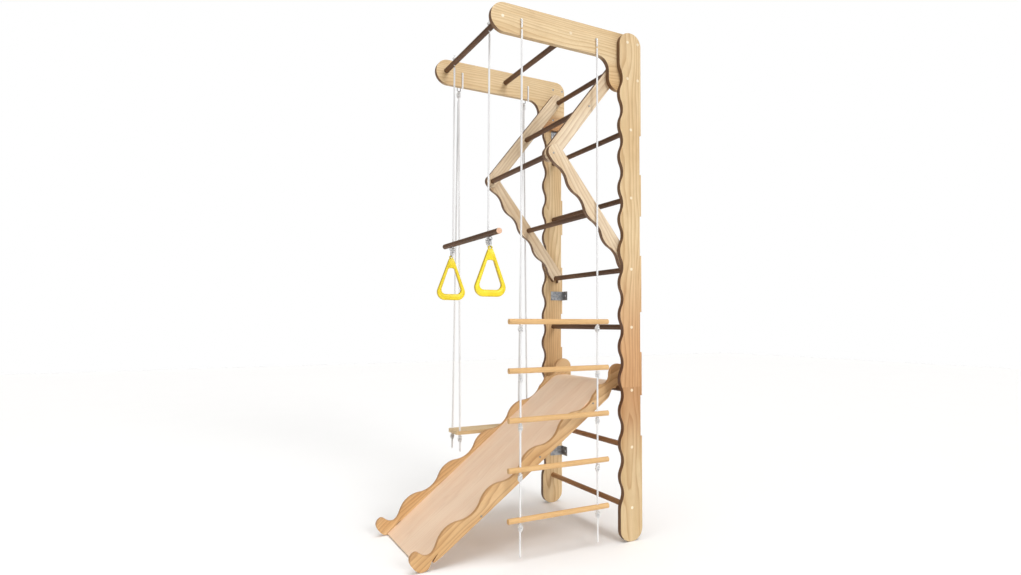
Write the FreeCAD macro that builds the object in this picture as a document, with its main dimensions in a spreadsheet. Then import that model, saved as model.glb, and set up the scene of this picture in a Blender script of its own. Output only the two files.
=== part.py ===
import FreeCAD, Part
import math
import os
import Sketcher

# A wall-mounted climbing frame: two wavy uprights with wall rungs, two overhead arms with
# monkey-bar rungs, a zigzag ladder, a rope ladder, a trapeze with two rings, a plank swing
# and a slide that hooks over one of the wall rungs.
#
# Frame: X runs along the rungs, Y points into the wall (the wall is the plane y = 0),
# Z is up and the floor is z = 0. The origin is midway between the uprights, where the
# wall meets the floor. All sizes are in millimetres.

doc = FreeCAD.newDocument("climbing_frame")
sheet = doc.addObject("Spreadsheet::Sheet", "Sizes")

SIZES = [
    # whole frame
    ("frame_height", 2400),
    ("frame_width", 800),
    ("board_thick", 25),
    ("upright_depth", 121),
    ("end_round", 58),
    ("wave_pitch", 150),
    ("wave_depth", 18),
    ("top_valley_height", 2175),
    ("seam_height", 712.5),
    ("bottom_valley_count", 14),
    ("pad_depth", 8),
    ("recess_length", 190),
    ("recess_height_a", 1816),
    ("recess_height_b", 1427),
    ("recess_height_c", 969),
    ("recess_height_d", 576),
    # round rungs
    ("rung_radius", 13),
    ("rung_fit", 0.05),
    ("socket_depth", 9),
    ("rung_depth_line", -57.6),
    ("rung_height_a", 1932),
    ("rung_height_b", 1605),
    ("rung_height_c", 1266),
    ("rung_height_d", 992),
    ("rung_height_e", 697),
    ("rung_height_f", 433),
    ("rung_height_g", 153.5),
    ("rung_height_top", 2272),
    # overhead arms
    ("arm_reach", 768),
    ("arm_height", 130),
    ("arm_hook_bottom", 2120),
    ("arm_hook_front", -166),
    ("arm_back", -3),
    ("front_rung_reach", -713),
    ("middle_rung_reach", -374),
    ("overhead_height", 2340),
    ("rope_hole_front", -625),
    ("rope_hole_rear", -237),
    ("rope_hole_height", 2342),
    ("rope_hole_radius", 5.5),
    ("arm_bolt_front", -75.8),
    ("arm_bolt_rear", -17),
    ("arm_bolt_top", 2354),
    ("arm_bolt_bottom", 2177),
    # fasteners
    ("bolt_radius", 4),
    ("bolt_head_radius", 6.5),
    ("bolt_head_thick", 4),
    ("nut_radius", 6),
    ("nut_length", 13),
    ("cap_radius", 7),
    ("cap_thick", 3),
    ("screw_radius", 3),
    ("screw_length", 50),
    ("wood_screw_radius", 2.5),
    ("wood_screw_head", 4.5),
    ("wood_screw_head_thick", 2.5),
    ("wood_screw_length", 18),
    ("dowel_radius", 5),
    ("dowel_length", 80),
    # wall brackets
    ("bracket_height", 50),
    ("bracket_board_leg", 75),
    ("bracket_wall_leg", 60),
    ("bracket_thick", 3),
    ("bracket_hole_radius", 4.5),
    ("bracket_hole_inset", 42),
    ("bracket_height_top", 2094),
    ("bracket_height_middle", 1167),
    ("bracket_height_low", 287),
    # zigzag ladder
    ("zigzag_apex_reach", -460),
    ("zigzag_apex_height", 1775),
    ("zigzag_upper_rung_reach", -258),
    ("zigzag_upper_rung_height", 2028),
    ("zigzag_lower_rung_reach", -232),
    ("zigzag_lower_rung_height", 1526),
    ("zigzag_half_width", 33),
    ("zigzag_wave_depth", 16),
    ("zigzag_inset", 5),
    ("notch_gap", 0.4),
    # ropes and knots
    ("rope_radius", 4.5),
    ("knot_radius", 12),
    ("knot_half_height", 20),
    ("small_knot_radius", 10),
    ("small_knot_half_height", 9),
    ("joint_gap", 4),
    # trapeze
    ("trapeze_rope_place", 228),
    ("trapeze_bar_height", 1408),
    ("trapeze_bar_radius", 13),
    ("trapeze_bar_length", 700),
    ("ring_place", 252),
    ("eye_radius", 8),
    ("wire_radius", 2),
    ("link_height", 34),
    ("link_width", 18),
    ("ring_height", 226),
    ("ring_width", 152),
    ("ring_thick", 22),
    # swing
    ("swing_seat_height", 450),
    ("swing_seat_thick", 18),
    ("swing_seat_width", 140),
    ("swing_seat_length", 430),
    ("swing_leg_spread", 56),
    ("swing_place", 403),
    ("swing_eye_height", 2300),
    ("swing_eye_radius", 9),
    ("swing_eye_wire", 2.5),
    ("swing_eye_shank", 2.2),
    ("swing_tail_height", 345),
    # rope ladder
    ("ladder_place", 383),
    ("ladder_rung_length", 500),
    ("ladder_first_rung", 1018),
    ("ladder_pitch", 210),
    ("ladder_tail_height", 22),
    # slide
    ("slide_width", 570),
    ("slide_board_thick", 20),
    ("slide_wave_pitch", 235),
    ("slide_wave_depth", 35),
    ("slide_angle", 36.4),
    ("bed_angle", 38.4),
    ("bed_thick", 8),
    ("bed_foot_reach", -1014),
    ("bed_top_height", 727),
    ("bed_end_reach", -38),
    ("batten_thick", 14),
    ("batten_width", 40),
]

for row, (alias, value) in enumerate(SIZES, start=1):
    sheet.set("A%d" % row, alias)
    sheet.set("B%d" % row, str(value))
    sheet.setAlias("B%d" % row, alias)
doc.recompute()

size = {alias: float(sheet.get(alias)) for alias, value in SIZES}
sub_parts = []


def node(shape_object, label):
    """Label an object as one finished sub-part; the label is its file's name."""
    shape_object.Label = label
    sub_parts.append(shape_object)
    return shape_object


def cell(text):
    """Turn the alias names of an expression into references to the sheet."""
    return " ".join("Sizes." + word if word in size else word for word in text.split(" "))


def worth(text):
    """The number that an expression of aliases comes to."""
    return float(sheet.evalExpression(text))


# ---------------------------------------------------------------- sketches and outlines


def origin_plane(body, role):
    for feature in body.Origin.OriginFeatures:
        if feature.Role == role:
            return feature
    raise RuntimeError("no plane " + role)


def sketch_in(body, role="YZ_Plane", raised=None):
    """A sketch on one of the body's own planes, raised along its normal by a sheet expression."""
    sketch = body.newObject("Sketcher::SketchObject", body.Name + "_sketch")
    sketch.AttachmentSupport = [(origin_plane(body, role), "")]
    sketch.MapMode = "FlatFace"
    if raised:
        sketch.AttachmentOffset.Base.z = worth(raised)
        sketch.setExpression("AttachmentOffset.Base.z", cell(raised))
    return sketch


def vector(point):
    return FreeCAD.Vector(point[0], point[1], 0)


def corner_chain(vertices):
    """Lines through (u, v, radius) vertices with tangent arcs of the given radius at each corner."""
    edges = []
    start = vector(vertices[0])
    for before, here, after in zip(vertices, vertices[1:], vertices[2:]):
        corner = vector(here)
        back = (vector(before) - corner).normalize()
        ahead = (vector(after) - corner).normalize()
        half_turn = (math.pi - back.getAngle(ahead)) / 2
        radius = here[2]
        if radius <= 0:
            edges.append(Part.LineSegment(start, corner))
            start = corner
            continue
        reach = radius * math.tan(half_turn)
        first = corner + back * reach
        last = corner + ahead * reach
        bisector = (back + ahead).normalize()
        middle = corner + bisector * (radius / math.cos(half_turn) - radius)
        if (first - start).Length > 1e-6:
            edges.append(Part.LineSegment(start, first))
        edges.append(Part.Arc(first, middle, last))
        start = last
    edges.append(Part.LineSegment(start, vector(vertices[-1])))
    return edges


def wave_chain(start, direction, pitch, depth, halves, side):
    """Tangent arcs that wave about a straight line, from one crossing of it to another.

    Each half wave is one arc over half a pitch, bulging depth/2 to alternate sides.
    side is +1 when the first bulge is to the left of the direction.
    """
    along = FreeCAD.Vector(direction[0], direction[1], 0).normalize()
    across = FreeCAD.Vector(-along.y, along.x, 0)
    edges = []
    here = vector(start)
    for number in range(halves):
        bulge = side * depth / 2 * (1 if number % 2 == 0 else -1)
        middle = here + along * (pitch / 4) + across * bulge
        ahead = here + along * (pitch / 2)
        edges.append(Part.Arc(here, middle, ahead))
        here = ahead
    return edges


def spline(points, first_way=None, last_way=None):
    """A smooth curve through points, with its direction fixed at the ends where that is given."""
    curve = Part.BSplineCurve()
    options = {}
    if first_way and last_way:
        options["InitialTangent"] = FreeCAD.Vector(first_way[0], first_way[1], 0)
        options["FinalTangent"] = FreeCAD.Vector(last_way[0], last_way[1], 0)
    curve.interpolate([vector(point) for point in points], **options)
    return curve


def add_outline(sketch, edges):
    for edge in edges:
        sketch.addGeometry(edge, False)


def add_circles(sketch, circles):
    """Circles given as (u, v, radius) sheet expressions, each held by three bound constraints."""
    for u, v, radius in circles:
        centre = FreeCAD.Vector(worth(u), worth(v), 0)
        circle = sketch.addGeometry(Part.Circle(centre, FreeCAD.Vector(0, 0, 1), worth(radius)), False)
        for kind, text in (("DistanceX", u), ("DistanceY", v)):
            if abs(worth(text)) < 1e-9:
                point_on = "PointOnObject"
                axis = -2 if kind == "DistanceX" else -1
                sketch.addConstraint(Sketcher.Constraint(point_on, circle, 3, axis))
                continue
            held = sketch.addConstraint(Sketcher.Constraint(kind, -1, 1, circle, 3, worth(text)))
            sketch.setExpression("Constraints[%d]" % held, cell(text))
        held = sketch.addConstraint(Sketcher.Constraint("Radius", circle, worth(radius)))
        sketch.setExpression("Constraints[%d]" % held, cell(radius))


def pad(body, sketch, length, both_ways=False):
    feature = body.newObject("PartDesign::Pad", body.Name + "_pad")
    feature.Profile = sketch
    feature.Length = worth(length)
    feature.setExpression("Length", cell(length))
    feature.Midplane = both_ways
    body.Tip = feature
    doc.recompute()
    return feature


def pocket(body, circles, length, raised=None, role="YZ_Plane", along_normal=True):
    """Round pockets from a plane of the body, along the plane's normal or against it."""
    sketch = sketch_in(body, role, raised)
    add_circles(sketch, circles)
    return pocket_from(body, sketch, length, along_normal)


def pocket_from(body, sketch, length, along_normal=True):
    before = body.Shape.Volume
    feature = body.newObject("PartDesign::Pocket", body.Name + "_pocket")
    feature.Profile = sketch
    feature.Length = worth(length)
    feature.setExpression("Length", cell(length))
    feature.Reversed = along_normal
    body.Tip = feature
    doc.recompute()
    if not body.Shape.Volume < before - 1:
        raise RuntimeError(body.Name + ": a pocket removed nothing")
    return feature


def place(thing, x=None, y=None, z=None):
    """Move an object by sheet expressions along X, Y and Z."""
    for axis, text in (("x", x), ("y", y), ("z", z)):
        if text:
            setattr(thing.Placement.Base, axis, worth(text))
            thing.setExpression("Placement.Base." + axis, cell(text))


def mirrored(source, label):
    """The same piece on the far side, reflected in the plane x = 0."""
    copy = doc.addObject("Part::Mirroring", label)
    copy.Source = source
    copy.Base = FreeCAD.Vector(0, 0, 0)
    copy.Normal = FreeCAD.Vector(1, 0, 0)
    return node(copy, label)


def mirrored_pair(body, stem):
    near = node(body, "near_" + stem)
    mirrored(near, "far_" + stem)


def group(label, objects):
    """Several identical solids kept together as one sub-part."""
    compound = doc.addObject("Part::Compound", label)
    compound.Links = objects
    return node(compound, label)


def cylinder_x(label, radius, length, middle):
    """A plain cylinder along X whose middle is at the given point."""
    rod = doc.addObject("Part::Cylinder", label)
    rod.Radius = worth(radius)
    rod.setExpression("Radius", cell(radius))
    rod.Height = worth(length)
    rod.setExpression("Height", cell(length))
    turn = FreeCAD.Rotation(FreeCAD.Vector(0, 1, 0), 90)
    start = FreeCAD.Vector(middle[0] - worth(length) / 2, middle[1], middle[2])
    rod.Placement = FreeCAD.Placement(start, turn)
    return rod


def fused(label, *pieces):
    joined = doc.addObject("Part::MultiFuse", label)
    joined.Shapes = list(pieces)
    return joined


# ---------------------------------------------------------------- uprights

wave_mean = -(size["upright_depth"] - size["wave_depth"] / 2)
wave_crest = -size["upright_depth"]
quarter = size["wave_pitch"] / 4
upper_crossing = size["top_valley_height"] + quarter
lower_crossing = upper_crossing - size["wave_pitch"] * (size["bottom_valley_count"] - 0.5)
half_length = size["recess_length"] / 2

BARE_HALF = "frame_width / 2 - board_thick"
BORE = "rung_radius + rung_fit"
SCREW_BORE = "screw_radius + 0.1"
HEAD_BORE = "cap_radius + 0.05"
HEAD_DEPTH = "cap_thick + bolt_head_thick"


def quarter_wave(crest, crossing):
    """The arc from the top of a crest to the place where the wave crosses its mean line."""
    along = abs(crossing[1] - crest[1])
    rise = abs(crossing[0] - crest[0])
    radius = (along ** 2 + rise ** 2) / (2 * rise)
    angle = math.asin(along / radius) / 2
    way = 1 if crossing[1] > crest[1] else -1
    middle_y = crest[0] + radius * (1 - math.cos(angle))
    middle_z = crest[1] + way * radius * math.sin(angle)
    return Part.Arc(vector(crest), FreeCAD.Vector(middle_y, middle_z, 0), vector(crossing))


def recess(height):
    """The four corners of a shallow recess in the back edge, going up."""
    deep = -size["pad_depth"]
    low = height - half_length
    high = height + half_length
    return [(0, low, 0), (deep, low, 0), (deep, high, 0), (0, high, 0)]


def upper_upright_outline():
    top = size["frame_height"]
    curl = size["end_round"]
    crest = upper_crossing + quarter
    vertices = [(wave_mean, size["seam_height"], 0), (0, size["seam_height"], 0)]
    vertices += recess(size["recess_height_c"])
    vertices += recess(size["recess_height_b"])
    vertices += recess(size["recess_height_a"])
    vertices += [(0, top, curl), (wave_crest, top, curl), (wave_crest, crest, 0)]
    halves = round((upper_crossing - size["seam_height"]) / (2 * quarter))
    edges = corner_chain(vertices)
    edges.append(quarter_wave((wave_crest, crest), (wave_mean, upper_crossing)))
    edges += wave_chain((wave_mean, upper_crossing), (0, -1), size["wave_pitch"], size["wave_depth"], halves, 1)
    return edges


def lower_upright_outline():
    seam = size["seam_height"]
    curl = size["end_round"]
    crest = lower_crossing - quarter
    halves = round((seam - lower_crossing) / (2 * quarter))
    edges = wave_chain((wave_mean, seam), (0, -1), size["wave_pitch"], size["wave_depth"], halves, 1)
    edges.append(quarter_wave((wave_crest, crest), (wave_mean, lower_crossing)))
    vertices = [(wave_crest, crest, 0), (wave_crest, 0, curl), (0, 0, curl)]
    vertices += recess(size["recess_height_d"])
    vertices += [(0, seam, 0), (wave_mean, seam, 0)]
    return edges + corner_chain(vertices)


def board_body(name, edges, thickness, inner_face):
    """A board standing in the YZ plane, its inner face at the given X and its thickness outwards."""
    body = doc.addObject("PartDesign::Body", name)
    sketch = sketch_in(body)
    add_outline(sketch, edges)
    pad(body, sketch, thickness)
    place(body, x=inner_face)
    return body


ARM_BOLTS = [
    (line, height)
    for line in ("arm_bolt_front", "arm_bolt_rear")
    for height in ("arm_bolt_top", "arm_bolt_bottom")
]
UPPER_RUNGS = ["rung_height_a", "rung_height_b", "rung_height_c", "rung_height_d"]
LOWER_RUNGS = ["rung_height_e", "rung_height_f", "rung_height_g"]
UPPER_BRACKETS = ["bracket_height_top", "bracket_height_middle"]
LOWER_BRACKETS = ["bracket_height_low"]
BRACKET_SCREW_LINE = "bracket_board_leg / -2"
DOWEL_LINES = ["-35", "-85"]


def drill_upright(body, rungs, bolts, brackets):
    """Rung sockets and screw pilots in the inner face, head bores in the outer face."""
    pocket(body, [("rung_depth_line", height, BORE) for height in rungs], "socket_depth")
    pocket(body, [("rung_depth_line", height, SCREW_BORE) for height in rungs], "board_thick")
    pilots = [(BRACKET_SCREW_LINE, height, "wood_screw_radius") for height in brackets]
    pocket(body, pilots, "wood_screw_length")
    if bolts:
        pocket(body, [(line, height, "bolt_radius + 0.1") for line, height in bolts], "board_thick")
    heads = [("rung_depth_line", height, HEAD_BORE) for height in rungs]
    heads += [(line, height, HEAD_BORE) for line, height in bolts]
    pocket(body, heads, HEAD_DEPTH, raised="board_thick", along_normal=False)


upper = board_body("near_upper", upper_upright_outline(), "board_thick", BARE_HALF)
drill_upright(upper, UPPER_RUNGS, ARM_BOLTS, UPPER_BRACKETS)
dowel_circles = [("board_thick / 2", line, "dowel_radius") for line in DOWEL_LINES]
pocket(upper, dowel_circles, "dowel_length / 2", raised="seam_height", role="XY_Plane")
mirrored_pair(upper, "upright_upper")

lower = board_body("near_lower", lower_upright_outline(), "board_thick", BARE_HALF)
drill_upright(lower, LOWER_RUNGS, [], LOWER_BRACKETS)
pocket(lower, dowel_circles, "dowel_length / 2", raised="seam_height", role="XY_Plane", along_normal=False)
mirrored_pair(lower, "upright_lower")

dowels = []
for side in (1, -1):
    for line in DOWEL_LINES:
        dowel = doc.addObject("Part::Cylinder", "dowel")
        dowel.setExpression("Radius", cell("dowel_radius"))
        dowel.setExpression("Height", cell("dowel_length"))
        middle = side * worth("frame_width / 2 - board_thick / 2")
        foot = worth("seam_height - dowel_length / 2")
        dowel.Placement.Base = FreeCAD.Vector(middle, worth(line), foot)
        dowels.append(dowel)
group("seam_dowels", dowels)


# ---------------------------------------------------------------- overhead arms


def arm_outline():
    """A long arm with a round nose, and behind it a hook-shaped lobe that is bolted to the upright."""
    top = size["frame_height"]
    under = top - size["arm_height"]
    nose = size["arm_height"] / 2 - 0.1
    front = -size["arm_reach"]
    start = (size["middle_rung_reach"], under, 0)
    return corner_chain([
        start,
        (front, under, nose),
        (front, top, nose),
        (size["arm_back"], top, 55),
        (size["arm_back"], size["arm_hook_bottom"], 48),
        (size["arm_hook_front"], size["arm_hook_bottom"], 52),
        (size["arm_hook_front"], under, 62),
        start,
    ])


OVERHEAD_RUNGS = ["front_rung_reach", "middle_rung_reach"]
ROPE_HOLES = ["rope_hole_front", "rope_hole_rear"]

arm = board_body("arm", arm_outline(), "board_thick", "frame_width / 2 - 2 * board_thick")
sockets = [(line, "overhead_height", BORE) for line in OVERHEAD_RUNGS]
sockets.append(("rung_depth_line", "rung_height_top", BORE))
pocket(arm, sockets, "socket_depth")
pocket(arm, [(line, "overhead_height", SCREW_BORE) for line in OVERHEAD_RUNGS], "board_thick")
pocket(arm, [(line, "rope_hole_height", "rope_hole_radius") for line in ROPE_HOLES], "board_thick")
pocket(arm, [(line, height, "bolt_radius + 0.1") for line, height in ARM_BOLTS], "board_thick")
pocket(arm, [(line, height, "nut_radius") for line, height in ARM_BOLTS], "nut_length")
arm_heads = [(line, "overhead_height", HEAD_BORE) for line in OVERHEAD_RUNGS]
pocket(arm, arm_heads, HEAD_DEPTH, raised="board_thick", along_normal=False)
near_arm = node(arm, "near_arm")
far_arm_blank = doc.addObject("Part::Mirroring", "far_arm_blank")
far_arm_blank.Source = near_arm
far_arm_blank.Base = FreeCAD.Vector(0, 0, 0)
far_arm_blank.Normal = FreeCAD.Vector(1, 0, 0)
doc.recompute()

# The far arm alone takes the swing's screw eyes, in its outer face.
EYE_DEPTH = 20
eye_pilots = []
for line in ROPE_HOLES:
    outer = worth("frame_width / 2 - board_thick")
    spot = (-(outer - EYE_DEPTH / 2 + 0.05), worth(line), size["swing_eye_height"])
    eye_pilots.append(cylinder_x("eye_pilot", "swing_eye_shank", str(EYE_DEPTH + 0.1), spot))
far_arm = doc.addObject("Part::Cut", "far_arm_drilled")
far_arm.Base = far_arm_blank
far_arm.Tool = fused("eye_pilots", *eye_pilots)
node(far_arm, "far_arm")


# ---------------------------------------------------------------- rungs


def rung(label, line, height, half, pilot_radius=None, pilot_depth="42"):
    """A round rung along X with a screw pilot in each end."""
    body = doc.addObject("PartDesign::Body", label + "_body")
    sketch = sketch_in(body)
    add_circles(sketch, [("0", "0", "rung_radius")])
    pad(body, sketch, "2 * ( " + half + " )", both_ways=True)
    if pilot_radius:
        hole = [("0", "0", pilot_radius)]
        pocket(body, hole, pilot_depth, raised=half, along_normal=False)
        pocket(body, hole, pilot_depth, raised="-1 * ( " + half + " )")
    place(body, y=line, z=height)
    return node(body, label)


WALL_HALF = "frame_width / 2 - board_thick + socket_depth - 0.1"
ARM_HALF = "frame_width / 2 - 2 * board_thick + socket_depth - 0.1"
INNER_HALF = "frame_width / 2 - 3 * board_thick + socket_depth - 0.1"

for number, height in enumerate(UPPER_RUNGS + LOWER_RUNGS, start=1):
    rung("wall_rung_%d" % number, "rung_depth_line", height, WALL_HALF, "screw_radius")
rung("top_rung", "rung_depth_line", "rung_height_top", ARM_HALF)
rung("middle_overhead_rung", "middle_rung_reach", "overhead_height", ARM_HALF, "screw_radius")
front_rung = rung("front_overhead_rung", "front_rung_reach", "overhead_height", ARM_HALF, "screw_radius")
rope_bores = [(side + "trapeze_rope_place", "0", "rope_radius + 0.7") for side in ("", "-1 * ")]
pocket(front_rung, rope_bores, "2 * rung_radius", raised="-1 * rung_radius", role="XY_Plane")


# ---------------------------------------------------------------- bolts, nuts, screws and caps


def headed(label, shank_radius, shank_length, head_radius, head_thick, head_face, line, height, side):
    """A bolt or screw along X. Its head's outer face is at head_face and its shank points inwards."""
    thick = worth(head_thick)
    length = worth(shank_length)
    head_middle = side * (worth(head_face) - thick / 2)
    shank_middle = side * (worth(head_face) - thick - length / 2)
    y = worth(line)
    z = worth(height)
    head = cylinder_x(label + "_head", head_radius, head_thick, (head_middle, y, z))
    shank = cylinder_x(label + "_shank", shank_radius, shank_length, (shank_middle, y, z))
    return fused(label, head, shank)


HEAD_FACE = "frame_width / 2 - cap_thick"
ARM_HEAD_FACE = "frame_width / 2 - board_thick - cap_thick"
rung_screws = []
arm_bolts = []
arm_nuts = []
caps = []


def cap(face, line, height, side):
    middle = side * (worth(face) + size["cap_thick"] / 2)
    caps.append(cylinder_x("cap", "cap_radius", "cap_thick", (middle, worth(line), worth(height))))


def rung_screw(face, line, height, side):
    screw = headed("rung_screw", "screw_radius", "screw_length", "bolt_head_radius", "bolt_head_thick",
                   face, line, height, side)
    rung_screws.append(screw)
    cap(face, line, height, side)


for side in (1, -1):
    for height in UPPER_RUNGS + LOWER_RUNGS:
        rung_screw(HEAD_FACE, "rung_depth_line", height, side)
    for line in OVERHEAD_RUNGS:
        rung_screw(ARM_HEAD_FACE, line, "overhead_height", side)
    for line, height in ARM_BOLTS:
        bolt = headed("arm_bolt", "bolt_radius", "2 * board_thick - " + HEAD_DEPTH.replace("+", "-") + " - 2",
                      "bolt_head_radius", "bolt_head_thick", HEAD_FACE, line, height, side)
        arm_bolts.append(bolt)
        cap(HEAD_FACE, line, height, side)
        middle = side * worth("frame_width / 2 - 2 * board_thick + nut_length / 2")
        spot = (middle, worth(line), worth(height))
        sleeve = cylinder_x("nut_sleeve", "nut_radius", "nut_length", spot)
        thread = cylinder_x("nut_thread", "bolt_radius", "nut_length", spot)
        nut = doc.addObject("Part::Cut", "insert_nut")
        nut.Base = sleeve
        nut.Tool = thread
        arm_nuts.append(nut)

group("rung_screws", rung_screws)
group("arm_bolts", arm_bolts)
group("arm_insert_nuts", arm_nuts)
group("cover_caps", caps)


# ---------------------------------------------------------------- wall brackets

brackets = []
wood_screws = []


def wall_bracket(height, side):
    """A steel angle: one leg on the upright's inner face, the other flat against the wall."""
    body = doc.addObject("PartDesign::Body", "bracket")
    sketch = sketch_in(body, "XY_Plane")
    thick = size["bracket_thick"]
    board_leg = -size["bracket_board_leg"]
    wall_leg = -side * size["bracket_wall_leg"]
    inner = -side * thick
    add_outline(sketch, corner_chain([
        (0, board_leg, 0),
        (0, 0, 0),
        (wall_leg, 0, 0),
        (wall_leg, -thick, 0),
        (inner, -thick, 3),
        (inner, board_leg, 0),
        (0, board_leg, 0),
    ]))
    pad(body, sketch, "bracket_height", both_ways=True)
    reach = "-1 * bracket_hole_inset" if side > 0 else "bracket_hole_inset"
    wall_hole = [(reach, "0", "bracket_hole_radius")]
    pocket(body, wall_hole, "bracket_thick + 1", role="XZ_Plane")
    screw_hole = [(BRACKET_SCREW_LINE, "0", "wood_screw_radius + 0.1")]
    pocket(body, screw_hole, "bracket_thick + 1", along_normal=side < 0)
    place(body, x="( " + BARE_HALF + " ) * %d" % side, z=height)
    brackets.append(body)


def wood_screw(face, line, height, side, pointing, length="wood_screw_length"):
    """A round-headed screw along X. The head stands on the given face; pointing is +1 outwards."""
    thick = size["wood_screw_head_thick"]
    run = worth(length)
    head_middle = side * (worth(face) - pointing * thick / 2)
    shank_middle = side * (worth(face) + pointing * run / 2)
    y = worth(line)
    z = worth(height)
    head = cylinder_x("screw_head", "wood_screw_head", "wood_screw_head_thick", (head_middle, y, z))
    shank = cylinder_x("screw_shank", "wood_screw_radius", length, (shank_middle, y, z))
    return fused("wood_screw", head, shank)


for side in (1, -1):
    for height in UPPER_BRACKETS + LOWER_BRACKETS:
        wall_bracket(height, side)
        face = BARE_HALF + " - bracket_thick"
        wood_screws.append(wood_screw(face, BRACKET_SCREW_LINE, height, side, 1))
group("wall_brackets", brackets)


# ---------------------------------------------------------------- zigzag ladder


def capsule(first, last, radius):
    """Two parallel lines closed by half circles about the points first and last."""
    start = vector(first)
    end = vector(last)
    along = (end - start).normalize()
    across = FreeCAD.Vector(-along.y, along.x, 0) * radius
    return [
        Part.LineSegment(start - across, end - across),
        Part.Arc(end - across, end + along * radius, end + across),
        Part.LineSegment(end + across, start + across),
        Part.Arc(start + across, start - along * radius, start - across),
    ]


apex = (size["zigzag_apex_reach"], size["zigzag_apex_height"])
foot = (size["rung_depth_line"], size["rung_height_c"])
slope_length = math.hypot(foot[0] - apex[0], foot[1] - apex[1])
down_slope = ((foot[0] - apex[0]) / slope_length, (foot[1] - apex[1]) / slope_length)
off_slope = (-down_slope[1], down_slope[0])


def on_slope(along, off):
    """A point of the lower zigzag board: along it from the apex rung, and off its rung line."""
    return (apex[0] + along * down_slope[0] + off * off_slope[0], apex[1] + along * down_slope[1] + off * off_slope[1])


def lower_zigzag_outline():
    """A wavy front edge 15 mm before the rung line and a straight back edge 48 mm behind it."""
    mean = -15
    crest = mean - size["zigzag_wave_depth"] / 2
    back = 48
    end = slope_length + size["zigzag_half_width"]
    first_crest = 20
    halves = 7
    crossing = first_crest + quarter
    last_crossing = crossing + halves * 2 * quarter
    last_crest = last_crossing + quarter
    curl = 33
    edges = [slope_quarter(first_crest, crest, crossing, mean)]
    edges += wave_chain(on_slope(crossing, mean), down_slope, size["wave_pitch"],
                        size["zigzag_wave_depth"], halves, 1)
    edges.append(slope_quarter(last_crest, crest, last_crossing, mean))
    corners = [(last_crest, crest, 0), (end, crest, curl), (end, back, curl)]
    corners += [(-curl, back, curl), (-curl, crest, curl), (first_crest, crest, 0)]
    return edges + corner_chain([on_slope(s, n) + (r,) for s, n, r in corners])


def slope_quarter(crest_along, crest_off, crossing_along, crossing_off):
    """The quarter wave between a crest and a crossing, in the lower zigzag board's own directions."""
    run = abs(crossing_along - crest_along)
    rise = abs(crossing_off - crest_off)
    radius = (run ** 2 + rise ** 2) / (2 * rise)
    angle = math.asin(run / radius) / 2
    way = 1 if crossing_along > crest_along else -1
    middle = on_slope(crest_along + way * radius * math.sin(angle), crest_off + radius * (1 - math.cos(angle)))
    return Part.Arc(
        vector(on_slope(crest_along, crest_off)),
        vector(middle),
        vector(on_slope(crossing_along, crossing_off)),
    )


APEX = ("zigzag_apex_reach", "zigzag_apex_height")
UPPER_STEP = ("zigzag_upper_rung_reach", "zigzag_upper_rung_height")
LOWER_STEP = ("zigzag_lower_rung_reach", "zigzag_lower_rung_height")
ZIGZAG_PILOT = "wood_screw_radius + 0.1"
STEP_SCREW = "36"

upper_end = (size["rung_depth_line"] - 12, size["rung_height_top"] + 11)
zigzag_upper = board_body("zigzag_upper", capsule(apex, upper_end, size["zigzag_half_width"]),
                          "board_thick", "frame_width / 2 - 3 * board_thick - zigzag_inset")
pocket(zigzag_upper, [APEX + (BORE,), ("rung_depth_line", "rung_height_top", BORE)], "board_thick")
pocket(zigzag_upper, [UPPER_STEP + (BORE,)], "socket_depth")
pocket(zigzag_upper, [UPPER_STEP + (ZIGZAG_PILOT,)], "board_thick")
mirrored_pair(zigzag_upper, "zigzag_upper_board")

zigzag_lower = board_body("zigzag_lower", lower_zigzag_outline(), "board_thick",
                          "frame_width / 2 - 2 * board_thick - zigzag_inset")
pocket(zigzag_lower, [APEX + (BORE,), LOWER_STEP + (BORE,)], "socket_depth")
pocket(zigzag_lower, [APEX + (ZIGZAG_PILOT,), LOWER_STEP + (ZIGZAG_PILOT,)], "board_thick")
notch = size["rung_radius"] + size["notch_gap"]
notch_floor = foot[1] - 2 * size["zigzag_half_width"]
notch_sketch = sketch_in(zigzag_lower)
add_outline(notch_sketch, [
    Part.Arc(FreeCAD.Vector(foot[0] - notch, foot[1], 0), FreeCAD.Vector(foot[0], foot[1] + notch, 0),
             FreeCAD.Vector(foot[0] + notch, foot[1], 0)),
    Part.LineSegment(FreeCAD.Vector(foot[0] + notch, foot[1], 0), FreeCAD.Vector(foot[0] + notch, notch_floor, 0)),
    Part.LineSegment(FreeCAD.Vector(foot[0] + notch, notch_floor, 0), FreeCAD.Vector(foot[0] - notch, notch_floor, 0)),
    Part.LineSegment(FreeCAD.Vector(foot[0] - notch, notch_floor, 0), FreeCAD.Vector(foot[0] - notch, foot[1], 0)),
])
pocket_from(zigzag_lower, notch_sketch, "board_thick")
mirrored_pair(zigzag_lower, "zigzag_lower_board")

OUTER_STEP_HALF = ARM_HALF + " - zigzag_inset"
INNER_STEP_HALF = INNER_HALF + " - zigzag_inset"
OUTER_STEP_FACE = "frame_width / 2 - board_thick - zigzag_inset"
INNER_STEP_FACE = "frame_width / 2 - 2 * board_thick - zigzag_inset"

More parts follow.
